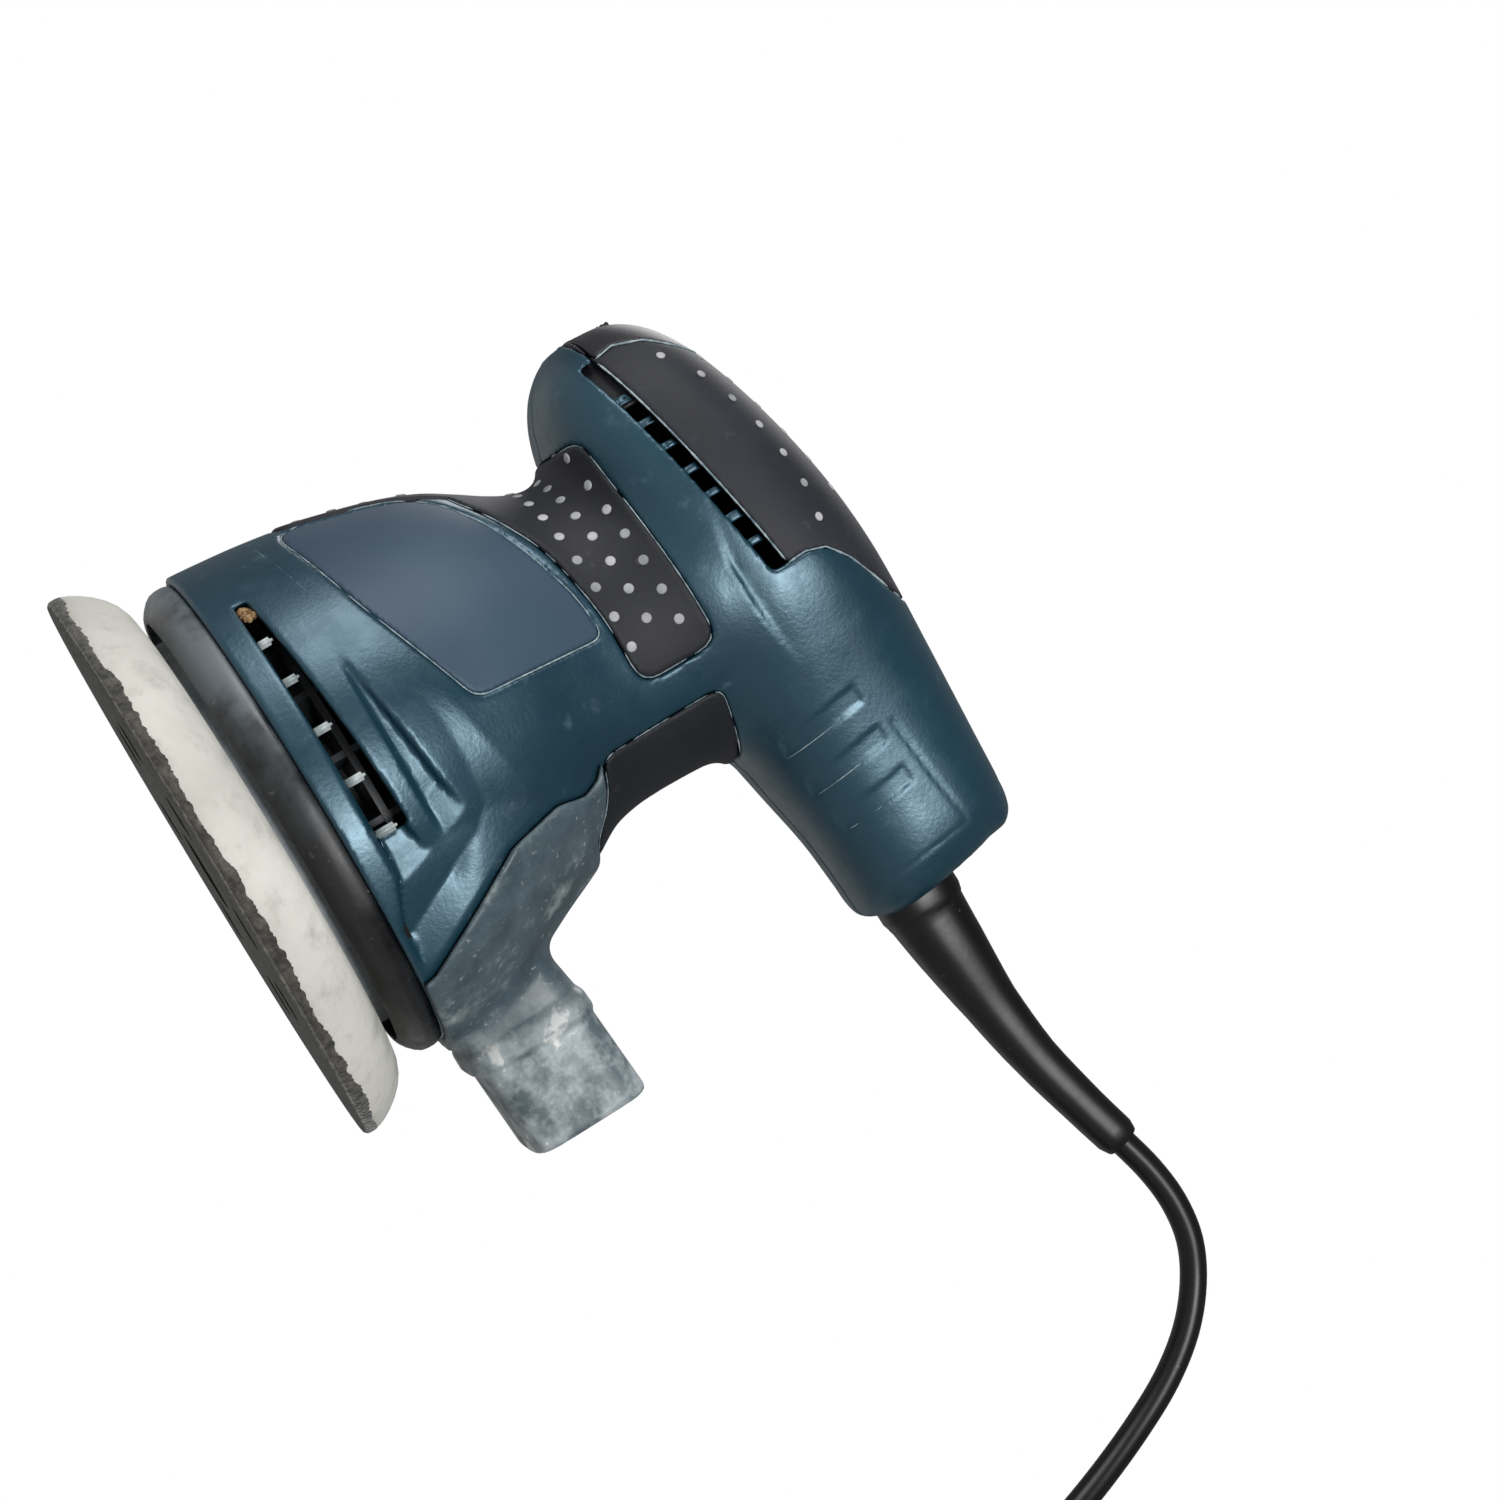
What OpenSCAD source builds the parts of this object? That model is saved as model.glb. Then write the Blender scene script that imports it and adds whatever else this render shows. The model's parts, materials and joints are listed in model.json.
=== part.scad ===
// Random orbit sander with a 125 mm pad: two housing halves, motor, eccentric drive and mains lead.
// Millimetres. It stands on its pad: the motor axis is Z, +X is the lead end, -Y the left side.

/* [Pad] */
// Diameter of the sanding pad
pad_d = 125; // [115:1:127]
// Thickness of the hook face under the foam
hook_t = 1.8; // [1:0.1:2.5]
// Diameter of the circle that the dust holes lie on
dust_pcd = 65; // [60:1:70]
// Diameter of one dust hole
dust_hole_d = 10; // [6:1:11]
// Number of dust holes
dust_holes = 8; // [6:2:8]
// Offset of the pad's axis from the motor's, half the orbit's diameter
orbit = 1.25; // [0.75:0.25:1.5]

/* [Housing] */
// Wall of the housing
wall = 2.6; // [2:0.1:3]
// Depth of the seat for a soft grip
grip_seat = 1.4; // [0.8:0.1:1.6]
// How far a soft grip stands proud
grip_proud = 0.5; // [0.2:0.1:0.8]
// Depth of the seat for a label plate
label_seat = 0.6; // [0.3:0.1:0.8]
// Depth of the recess round the air outlets
vent_recess = 0.8; // [0.4:0.1:1]
// Width of a rib between two air outlets
vent_rib = 1.7; // [1.2:0.1:2.4]
// Sides of the round outlines of the surfaces that show
fine_sides = 40; // [40:4:64]
// Sides of the round outlines of the surfaces that don't show
plain_sides = 20; // [20:4:40]

/* [Dust outlet] */
// Width of the outlet spout
spout_w = 34; // [28:1:36]
// Height of the outlet spout
spout_h = 27; // [24:1:28]
// Wall of the outlet spout
spout_wall = 2; // [1.5:0.1:2.5]

/* [Motor] */
// Radius of the motor shaft
shaft_r = 4; // [3:0.5:4]
// Radius of the armature's core
armature_r = 17.4; // [16:0.1:17.5]
// Outer radius of the field core
field_r = 29.4; // [28:0.2:29.6]
// Number of fan blades on each face of the fan
fan_blades = 18; // [12:1:24]
// Number of bars on the commutator
commutator_bars = 24; // [16:2:28]

/* [Lead] */
// Diameter of the mains lead
cord_d = 6; // [5.6:0.1:6.4]
// Radius of the hole in the middle of the coiled lead
coil_in = 18; // [16:1:24]
// Outer radius of the coiled lead
coil_out = 52; // [48:1:54]

/* [Hidden] */
$fn = 72;
eps = 0.02;
// A box that holds the whole object, to cut with
far = 400;
// Radial clearance of a running fit
run = 0.05;
teal = "#1f4f5e";
soft_black = "#2b292d";

// Lower body: height, radius at the front, radius at the rear
BODY = [[23, 55.3, 55.2], [29, 54.9, 54.6], [38, 54.1, 52.6], [48, 52.7, 48.6], [58, 50.5, 43.8],
        [68, 47.8, 39.3], [76, 44.7, 34.8], [82, 41.2, 33.4], [88, 37.4, 33.1], [93, 35, 33.2],
        [99, 34, 33.5], [106, 34.6, 34.2], [114, 36.4, 35.8], [122, 36.8, 36]];
// Head and handle: distance along X, top, underside, half width
HEAD = [[-57.2, 121.2, 118.8, 3], [-56.3, 127, 114.8, 11], [-54, 131.8, 111, 17],
        [-50, 136, 107.4, 22.4], [-44, 139.7, 104.5, 27.4], [-36, 143, 102.7, 31.5],
        [-26, 146.2, 102.4, 34.7], [-14, 149.2, 103, 36.8], [-2, 151.4, 103.8, 37.4],
        [10, 152.7, 104.6, 36.2], [22, 153.2, 105.4, 33.2], [34, 153.3, 106.3, 29.6],
        [46, 153.2, 108.4, 26.6], [60, 152.9, 111.2, 24.2], [71, 152.7, 112.4, 22.6],
        [79, 152.3, 113.2, 20.8], [82, 150.4, 115.6, 18.4], [83.4, 146, 120, 14.6]];
// Fullness of the head's section: 2 is an ellipse, more is squarer
head_power = 2.6;
// The handle's end face leans, by this slope, from lean_from to lean_to along X
end_lean = 0.17;
lean_from = 62;
lean_to = 80;
lean_z = 115;
// Share of the way round in which the front radius gives way to the rear one
front_share = 0.75;

base_z = BODY[0][0];
body_top = BODY[len(BODY) - 1][0];
// Height between two rings of the lower body's surface
fine_step = 6;
plain_step = 11;
hook_r = pad_d / 2;
// Hole in the middle of the pad, for the head of its screw
pad_middle_r = 9;
pad_screw_head_r = 7.5;
pad_screw_head_t = 4;
pad_hub_r = 9;
hex_r = 2.9;
plate_r = 44.6;
pad_top = 13.2;
pad_plate_top = 17;

// Cubic through the rows of a table: the value in column c at t
function row_at(table, t, i = 0) =
    i >= len(table) - 2 || t < table[i + 1][0] ? i : row_at(table, t, i + 1);
function smooth_value(table, t, c) =
    let (i = row_at(table, t), a = table[i], b = table[i + 1],
         p = table[max(i - 1, 0)], q = table[min(i + 2, len(table) - 1)],
         h = b[0] - a[0], s = (t - a[0]) / h,
         ma = (b[c] - p[c]) / (b[0] - p[0]) * h, mb = (q[c] - a[c]) / (q[0] - a[0]) * h)
    (2 * s ^ 3 - 3 * s ^ 2 + 1) * a[c] + (s ^ 3 - 2 * s ^ 2 + s) * ma
        + (3 * s ^ 2 - 2 * s ^ 3) * b[c] + (s ^ 3 - s ^ 2) * mb;
function step01(t) = let (s = min(max(t, 0), 1)) s * s * (3 - 2 * s);
function spow(v, e) = sign(v) * abs(v) ^ e;

// Level outline of the lower body at height z, out by grow
function body_ring(z, grow, sides) =
    [for (k = [0:sides - 1])
        let (a = k * 360 / sides, w = ((1 - cos(a)) / 2) ^ front_share,
             lo = max(z, base_z),
             r = smooth_value(BODY, lo, 2) * (1 - w) + smooth_value(BODY, lo, 1) * w + grow)
        [r * cos(a), r * sin(a), z]];
// Upright outline of the head at station x, out by grow
function head_ring(x, grow, sides) =
    let (top = smooth_value(HEAD, x, 1) + grow, low = smooth_value(HEAD, x, 2) - grow,
         w = smooth_value(HEAD, x, 3) + grow, mid = (top + low) / 2, h = (top - low) / 2,
         lean = end_lean * step01((x - lean_from) / (lean_to - lean_from)))
    [for (k = [0:sides - 1])
        let (a = k * 360 / sides, z = mid + h * spow(sin(a), 2 / head_power))
        [x - lean * (z - lean_z), w * spow(cos(a), 2 / head_power), z]];

// Solid through a row of rings with the same number of points
module loft(rings) {
    n = len(rings[0]);
    m = len(rings);
    polyhedron(
        points = [for (ring = rings) each ring],
        faces = concat(
            [[for (i = [0:n - 1]) i]],
            [[for (i = [n - 1:-1:0]) (m - 1) * n + i]],
            [for (j = [0:m - 2], i = [0:n - 1], half = [0, 1])
                let (a = j * n + i, b = j * n + (i + 1) % n, c = a + n, d = b + n)
                half == 0 ? [a, c, b] : [b, c, d]]));
}

// The lower body and the head, out by grow; plain forms have fewer faces
module body_form(grow, plain = false, from_z = base_z, to_z = body_top) {
    sides = plain ? plain_sides : fine_sides;
    bands = ceil((to_z - from_z) / (plain ? plain_step : fine_step));
    loft([for (k = [0:bands]) body_ring(from_z + k * (to_z - from_z) / bands, grow, sides)]);
}
module head_form(grow, plain = false, from_x = HEAD[0][0], to_x = HEAD[len(HEAD) - 1][0]) {
    sides = plain ? plain_sides - 2 : fine_sides - 10;
    inside = [for (k = [0:len(HEAD) - 1])
        if (HEAD[k][0] > from_x + 1 && HEAD[k][0] < to_x - 1 && (!plain || k % 2 == 1)) HEAD[k][0]];
    loft([for (x = concat([from_x], inside, [to_x])) head_ring(x, grow, sides)]);
}
module outer_form(grow = 0, plain = false) {
    body_form(grow, plain);
    head_form(grow, plain);
}
module inner_form() {
    body_form(-wall, true, base_z - 3);
    head_form(-wall, true, -54, 80.5);
}
// Prism across the tool from an outline in side view
module across(outline, from_y = -far / 2, to_y = far / 2) {
    translate([0, to_y, 0]) rotate([90, 0, 0]) linear_extrude(to_y - from_y) polygon(outline);
}
// Half of space: side -1 is the left, 1 the right
module half_space(side) {
    translate([-far / 2, side > 0 ? 0 : -far, -far / 2]) cube([far, far, far]);
}

// Side-view outlines, each point [x, z]
// Soft front grip round the waist
WAIST_GRIP = [[-62, 101], [-37.5, 101], [-37.5, 107], [-20, 108.1], [8, 109.3], [10.4, 108.4], [11.2, 106],
              [11.2, 95], [10.4, 92.4], [8, 91.4], [-5, 91], [-15, 89.6], [-22, 88.4],
              [-28, 86], [-34, 83.2], [-41, 79], [-62, 79]];
// Its spine down the front, seen from the front: [y, z]
SPINE = [[-9.5, 46.5], [9.5, 46.5], [10, 66], [12.5, 79], [12.5, 90], [-12.5, 90], [-12.5, 79], [-10, 66]];
REAR_GRIP = [[19.9, 77], [26, 75.8], [30.5, 73.4], [34, 70], [60, 70], [60, 106], [19.9, 106]];
LABEL = [[-50.7, 44.9], [-40.2, 47.3], [-30, 49.9], [-20, 53.4], [-10, 57.1], [-5.5, 58.8],
         [-3.6, 60.6], [-1.2, 86.5], [-2.2, 88.6], [-4.5, 89.2], [-11.4, 88.2], [-24, 84.9],
         [-32, 81.9], [-41, 76.4], [-46, 70], [-49, 60], [-51, 52]];
// Everything behind this seam belongs to the dust hood
HOOD = [[39.8, 20], [38.8, 26], [30, 42.5], [25.2, 51], [22.8, 63.5], [24.3, 70], [23, 73.8],
        [20.2, 76.2], [26, 75], [30.5, 72.6], [34, 69.2], [60, 69.2], [60, 20]];
// Recessed skirt round the air outlets, and the deeper field inside it
SKIRT = [[-70, 22], [-70, 38], [-51.2, 39.9], [-38.1, 42.8], [-27.9, 46], [-8.2, 53.2],
         [8.6, 57.1], [20.9, 61], [24.8, 50], [39.6, 25], [39.6, 22]];
VENT_FIELD = [[-41.8, 28.6], [-41.8, 32.4], [-33, 43.8], [-19, 46.5], [-11.1, 49.8], [-0.3, 51.7],
              [10.5, 50.8], [15.6, 50.6], [17.8, 47.5], [20.6, 45.3], [28.5, 30.5], [29.4, 28.6]];
UPPER_GROOVE = [[-26.8, 39.4], [-10, 43], [5, 45], [12.8, 46], [15.7, 39.9], [0, 39.2]];
SLOT_END = [[10.6, 35.6], [17.3, 36.6], [19.1, 29.3], [10.6, 29.3]];
// Air outlet: x and the height of its upper edge
OUTLET_TOP = [[-41, 32], [-25, 33.6], [-10, 34.8], [10, 36]];
outlet_low = 29.2;
outlet_tip = -42.6;
// Middles of the ribs that end each outlet
OUTLET_RIBS = [-32.9, -24.3, -13.4, -2.1, 9.1];
vent_depth = 1.8;
// Air inlet under the cap: its lower edge is a line from slot_x, slot_z up by slot_rise
slot_x = -49.6;
slot_z = 115.5;
slot_rise = 0.189;
slot_h = 2.9;
slot_end = 4.9;
slot_windows = 8;
slot_rib = 1.9;
function slot_edge(x) = slot_z + slot_h + (x - slot_x) * slot_rise;
// Rear edge of the cap, from the slot's end up over the head
CAP_REAR = [[4.9, slot_edge(4.9)], [4.6, 133], [6, 137.6], [10.2, 141.4], [15.5, 144.5],
            [20.8, 147.6], [24, 150], [27, 160]];
BEZEL = [[-70, 118.8], [-50, 118.8], [-50.8, 123.2], [-48.7, 129.5], [-45.6, 133.5],
         [-41.5, 139], [-40, 146], [-70, 146]];
CAP = concat([[-70, slot_edge(-70)]], CAP_REAR, [[-70, 160]]);
cap_t = 2.4;
// Slide button of the switch
button_w = 11;
button_travel = 5;
// Spout sections: x, underside, top, width; the step is the collar that the bag pushes against
SPOUT = [[44, 25.6, 49.5, 36], [58, 25, 52, 35], [59.6, 24.2, 52.9, 36.4], [63.4, 24.2, 53.2, 36.4],
         [64.2, 25.7, 52.5, spout_w], [84, 27, 27 + spout_h, spout_w]];
// Its bore, from inside the shells to past the mouth
THROAT = [[38, 27.5, 41.5, 28], [46, 28, 41.5, 28], [56, 28, 49, spout_w - 2 * spout_wall],
          [85, 27 + spout_wall, 27 + spout_h - spout_wall, spout_w - 2 * spout_wall]];
duct_sides = 32;
duct_power = 5;
hood_proud = 1.6;
hood_seat = 1.2;
label_proud = 0.1;
// The plate stops this far from the middle of the front
label_end = 12;

// Motor and drive heights
counter_z = 20;
counter_top = 33;
counter_r = 17;
pad_bearing_r = 13;
pad_bearing_h = 8;
pad_spindle_r = 6;
pad_screw_len = 11;
// Gap between the turning hub and the counterweight
hub_gap = 0.6;
weight_t = 13;
weight_h = 9;
fan_r = 42;
fan_low = 25;
fan_disc = 33;
fan_disc_t = 1.5;
fan_top = 40;
fan_hub_r = 12;
fan_inner_r = 31;
blade_inner_r = 22;
blade_t = 1.4;
bridge_r = 45;
bridge_z = 45;
bridge_t = 3;
bridge_screw_x = 40;
bridge_windows = 6;
bridge_window_x = 27;
bridge_window_r = 8.5;
bearing_r = 11;
bearing_h = 7;
lower_bearing_z = 41;
upper_bearing_z = 112;
bearing_seat_t = 2.5;
cup_r = 17;
cup_low = 110.8;
cup_top = 119.9;
core_z = 56;
core_h = 34;
winding_h = 5;
field_ring_in = 26.5;
brush_plate_z = 95.5;
brush_plate_t = 2.1;
brush_z = 102;
// Carbon brush: width and length, and the holder round it
brush_w = 6.8;
brush_len = 12;
holder_w = 10;
holder_len = 16;
holder_h = 11;
spring_r = 2.2;
spring_turns = 5;
spring_pitch = 1.3;
wire_r = 0.35;
commutator_r = 9;
commutator_z = 96.5;
commutator_h = 12;
shaft_low = 28.4;
shaft_top = 119.6;

// Boxes inside the head: low corner and size
SWITCH = [[-46, -9, 120], [16, 18, 12]];
SWITCH_SLOT = [[-47, -5.2, 123.7], [5, 10.4, 3.6]];
BUTTON_WINDOW = [[-70, -8.6, 121.4], [22, 17.2, 8.2]];
BOARD = [[13, -19, 133], [46, 38.5, 1.6]];
BOARD_BLOCKS = [[[18, -12, 134.5], [14, 12, 9]], [[36, -14, 134.5], [3, 16, 8]]];
TERMINAL = [[37, -8, 114], [17, 16, 9]];
SHELVES = [[[-47, -40, 118], [18, 80, 2]], [[36, -30, 112], [20, 60, 2]], [[12, -40, 131.2], [48, 80, 1.8]]];
// Room for the speed dial in the top shelf
SHELF_GAP = [[11, -13, 130], [50, 26, 5]];
// Cross webs that carry the upper bearing's cup
WEBS = [[[-45, -1.2, cup_low], [81.5, 2.4, cup_top - cup_low]],
        [[-1.2, -45, cup_low], [2.4, 90, cup_top - cup_low]]];
// Way through the shells for the dust
DUST_PASSAGE = [[40, -14, 27.5], [40, 28, 14]];
// Speed dial: middle, radius, height, and the height of its window
dial_x = 50;
dial_y = 17.5;
dial_z = 135.2;
dial_r = 10.6;
dial_h = 5;
dial_bore = 2.5;
// Height of the lead where it leaves the handle
lead_z = 125.6;
// Lead clamp and its two screws: place along X, and out from the middle
clamp_x = 66;
clamp_y = 9.5;
clamp_screw_r = 1.5;
clamp_screw_head_r = 3.2;
clamp_size = [6, 27, 5];
clamp_low = lead_z + 1.4;
clamp_screw_low = 118.5;
// Ring that holds the bearing bridge reaches this far above and below it
bridge_grip = 2.5;

// Housing screws, put in from the right: x, z, how far from the split the head seats
SCREWS = [[-43, 111.5, 15], [-47, 41.5, 17], [68, 141, 16], [58.5, 118.5, 15], [15.6, 103, 24]];
screw_r = 1.6;
screw_head_r = 3.1;
boss_r = 3.8;
pilot_depth = 10;

// Strain relief, a row of [x, z, radius]
RELIEF = [[72, 125.4, 9.2], [83.5, 125.9, 9.2], [86, 126, 8.5], [95, 126.7, 7.7], [110, 128.2, 6.4],
          [125, 130.7, 5.7], [140, 134.7, 5.1], [149, 137.4, 4.6], [151, 138, 4]];
relief_sides = 24;
tail_r = 4.4;
tail_x = 62.5;
// Free run of the lead, from the relief's tip to the coil
ROUTE = [[151, 0, 138], [160, 0, 140.4], [169, 0, 141.4], [178, 0, 140.2], [186.5, 0, 136],
         [194, -1, 129], [200, -2.5, 119.5], [204.5, -4.5, 108], [208, -7.5, 95], [210.5, -11.5, 81],
         [212.2, -16.5, 67], [214, -22.5, 54], [217, -29, 41.5], [221.5, -35.5, 30],
         [227.5, -41, 20], [235, -45.2, 12], [243.5, -47.8, 6.4], [252, -48.6, 3.6], [260, -48.8, 3]];
// Last run, from the coil's outer turn to the plug
TAIL = [[308.6, 0, 9], [309.6, 9, 8.2], [311.4, 18, 6.4], [312.6, 27, 5], [313, 36, 4.6]];
coil_x = 260;
coil_layers = 2;
cord_sides = 10;
plug_x = 313;
plug_y = 36;
plug_len = 34;
plug_h = 13;
// Waisted body of the plug from above, each point [x, y], and from the side, each point [y, z]
PLUG_PLAN = [[-5.6, 11.5], [-8.4, 14], [-11.2, 16.5], [-12.4, 19], [-12.2, 23], [-12.9, 32.5],
             [-12, plug_len], [12, plug_len], [12.9, 32.5], [12.2, 23], [12.4, 19], [11.2, 16.5],
             [8.4, 14], [5.6, 11.5]];
PLUG_SIDE = [[11.5, 0.6], [14, 0.3], [19, 0], [33, 0], [plug_len, 0.7], [plug_len, 12.3], [33, plug_h],
             [19, plug_h], [14, 12.1], [11.5, 11]];
// Neck of the plug: its middle, radius and length, and the start and length of each ring on it
neck_z = 4.6;
neck_r = 4.6;
neck_len = 14;
NECK_RINGS = [[0, 3.2], [5.6, 1.4], [9.4, 2.4]];
pin_r = 2;
pin_len = 19;
pin_gap = 18.6;
// Length of a pin inside the plug
pin_root = 6;

// Tube swept along points, with one radius for each
module sweep(points, radii, sides) {
    n = len(points);
    function along(i) = points[min(i + 1, n - 1)] - points[max(i - 1, 0)];
    function unit(v) = v / norm(v);
    loft([for (i = [0:n - 1])
        let (t = unit(along(i)), a = unit(cross([0.2, 1, 0.35], t)), b = cross(t, a))
        [for (k = [0:sides - 1])
            let (w = k * 360 / sides)
            points[i] + radii[i] * (cos(w) * a + sin(w) * b)]]);
}
module block(b) {
    translate(b[0]) cube(b[1]);
}
module tube(outer_r, inner_r, h) {
    difference() {
        cylinder(r = outer_r, h = h);
        translate([0, 0, -1]) cylinder(r = inner_r, h = h + 2);
    }
}
module front_grip_zone() {
    across(WAIST_GRIP);
    translate([-70, 0, 0]) rotate([90, 0, 90]) linear_extrude(50) polygon(SPINE);
}
// The label plate lies on the left side only
module label_zone() {
    across(LABEL, -far / 2, -label_end);
}
// Surfaces at the bottom of the seats, shared by the shells and by what they hold
module front_seat() {
    body_form(-grip_seat, true, 37.4, 127.4);
    head_form(-grip_seat, true, -54, 30);
}
module rear_seat() {
    body_form(-grip_seat, true, 60, 116);
}
module label_bed() {
    body_form(-label_seat, true, 36, 98);
}
module hood_bed() {
    body_form(-hood_seat, true, 20, 84);
}
module outlet_window(x0, x1, side) {
    r = 0.5;
    corners = [[x0, outlet_low + r], [x1, outlet_low + r],
               [x1, lookup(x1, OUTLET_TOP) - r], [x0, lookup(x0, OUTLET_TOP) - r]];
    hull() for (c = corners)
        translate([c[0], side > 0 ? 20 : -60, c[1]]) rotate([-90, 0, 0])
            cylinder(r = r, h = 40, $fn = 8);
}
module inlet_window(x0, x1, side) {
    r = 0.5;
    corners = [for (x = [x0 + r, x1 - r], dz = [r, slot_h + 1]) [x, slot_edge(x) - slot_h + dz]];
    hull() for (c = corners)
        translate([c[0], side > 0 ? 8 : -48, c[1]]) rotate([-90, 0, 0]) cylinder(r = r, h = 40, $fn = 8);
}
module air_openings(side) {
    for (k = [0:len(OUTLET_RIBS) - 1])
        outlet_window(k == 0 ? outlet_tip : OUTLET_RIBS[k - 1] + vent_rib / 2,
                      OUTLET_RIBS[k] - vent_rib / 2, side);
    pitch = (slot_end - slot_x) / slot_windows;
    for (k = [0:slot_windows - 1])
        inlet_window(slot_x + k * pitch, slot_x + (k + 1) * pitch - slot_rib, side);
}
// Cuts an outline into one side of the form, down to depth
module carve(outline, depth, side) {
    difference() {
        if (side > 0) across(outline, 0, 80);
        else across(outline, -80, 0);
        outer_form(-depth);
    }
}
// Ribs, rings and posts that hold what is inside, before they are trimmed to the form
module inner_ribs(side) {
    $fn = 24;
    // ring and groove for the bearing bridge
    translate([0, 0, bridge_z - bridge_grip]) difference() {
        tube(60, bridge_r - 1.2, bridge_t + 2 * bridge_grip);
        translate([0, 0, bridge_grip - eps]) cylinder(r = bridge_r + 0.5, h = bridge_t + 0.1);
    }
    // lugs for the bridge's screws
    for (a = [45:90:315]) rotate(a) translate([bridge_screw_x, 0, bridge_z - bridge_grip]) difference() {
        cylinder(r = 4.5, h = bridge_grip - eps);
        translate([0, 0, -1]) cylinder(r = screw_r, h = bridge_grip + 2, $fn = 16);
    }
    // rings below and above the field core
    difference() {
        translate([0, 0, core_z - 4.5]) tube(60, field_ring_in, 4.4);
        for (a = [30:60:330]) rotate(a) translate([37, 0, 0]) cylinder(r = 5, h = far, $fn = 16);
    }
    translate([0, 0, core_z + core_h + 0.1]) tube(40, field_ring_in, brush_plate_z - core_z - core_h - 0.15);
    // cup of the upper bearing, on cross webs
    difference() {
        union() {
            translate([0, 0, cup_low]) cylinder(r = cup_r, h = cup_top - cup_low);
            for (web = WEBS) block(web);
        }
        translate([0, 0, cup_low - 1]) cylinder(r = bearing_r + bearing_seat_t + 0.15, h = far);
    }
    // shelves for the switch, the board and the terminal block
    difference() {
        for (shelf = SHELVES) block(shelf);
        block(SHELF_GAP);
    }
    // posts of the lead clamp
    translate([clamp_x, side * clamp_y, 110]) cylinder(r = boss_r, h = clamp_low - 0.1 - 110, $fn = 16);
    // bosses of the housing screws
    for (s = SCREWS)
        translate([s[0], side > 0 ? 0 : -40, s[1]]) rotate([-90, 0, 0])
            cylinder(r = boss_r, h = 40, $fn = 16);
}
module screw_holes(side) {
    for (s = SCREWS) translate([s[0], 0, s[1]]) {
        if (side > 0) {
            rotate([-90, 0, 0]) cylinder(r = screw_r + 0.15, h = 60, $fn = 16);
            translate([0, s[2], 0]) rotate([-90, 0, 0]) cylinder(r = screw_head_r + 0.3, h = 60, $fn = 16);
        } else {
            rotate([90, 0, 0]) cylinder(r = screw_r, h = pilot_depth, $fn = 16);
        }
    }
    translate([clamp_x, side * clamp_y, clamp_screw_low - 0.5]) cylinder(r = clamp_screw_r, h = 20, $fn = 16);
}
module shell(side) {
    difference() {
        union() {
            intersection() {
                half_space(side);
                difference() {
                    outer_form();
                    inner_form();
                }
            }
            intersection() {
                half_space(side);
                outer_form(-1.2, true);
                inner_ribs(side);
            }
        }
        // seats of what is let into the surface
        difference() {
            front_grip_zone();
            front_seat();
        }
        difference() {
            across(REAR_GRIP);
            rear_seat();
            head_form(0);
        }
        if (side < 0) difference() {
            label_zone();
            label_bed();
        }
        difference() {
            across(HOOD);
            hood_bed();
        }
        // skirt, vent field and blind grooves
        carve(SKIRT, vent_recess, side);
        carve(VENT_FIELD, 2 * vent_recess, side);
        carve(UPPER_GROOVE, vent_depth + vent_recess / 2, side);
        carve(SLOT_END, vent_depth + vent_recess / 2, side);
        across(CAP);
        across(BEZEL);
        air_openings(side);
        screw_holes(side);
        // dust passage, lead exit, shaft room
        block(DUST_PASSAGE);
        translate([70, 0, lead_z]) rotate([0, 90, 0]) cylinder(r = RELIEF[0][2] + 0.2, h = 30);
        if (side > 0) translate([dial_x, dial_y, dial_z - 0.3]) cylinder(r = dial_r + 0.8, h = dial_h + 0.7);
    }
}

module left_shell() {
    color(teal) shell(-1);
}
module right_shell() {
    color(teal) shell(1);
}
module top_cap() {
    color(soft_black) difference() {
        intersection() {
            difference() {
                head_form(0, to_x = 34);
                head_form(-cap_t, true, -54, 40);
            }
            across(CAP);
        }
        across(BEZEL);
    }
}
module switch_bezel() {
    color("#242226") difference() {
        intersection() {
            difference() {
                head_form(0, to_x = -36);
                head_form(-cap_t, true, -54, -30);
            }
            across(BEZEL);
        }
        block(BUTTON_WINDOW);
    }
}
// Sliding switch button, at rest in its off place
module switch_button() {
    y = -(button_travel + button_w) / 2;
    color("#3a3840") {
        intersection() {
            difference() {
                head_form(-0.2, to_x = -44);
                head_form(-cap_t, true, -54, -36);
            }
            translate([-60, y, 122]) cube([8, button_w, 7]);
        }
        translate([-55, -button_travel / 2 - 2, 124]) cube([9.6, 4, 3]);
    }
}
module switch_body() {
    color("#3c3c3c") difference() {
        block(SWITCH);
        block(SWITCH_SLOT);
    }
}
module front_grip() {
    color(soft_black) intersection() {
        front_grip_zone();
        difference() {
            union() {
                body_form(grip_proud, from_z = 40);
                head_form(grip_proud, to_x = 22);
            }
            front_seat();
        }
    }
}
module rear_grip() {
    color(soft_black) difference() {
        intersection() {
            difference() {
                body_form(grip_proud, from_z = 66, to_z = 110);
                rear_seat();
            }
            across(REAR_GRIP);
        }
        head_form(0, from_x = 10, to_x = 46);
    }
}
module label_plate() {
    color("#45566e") intersection() {
        difference() {
            body_form(label_proud, from_z = 40, to_z = 94);
            label_bed();
        }
        label_zone();
    }
}
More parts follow.
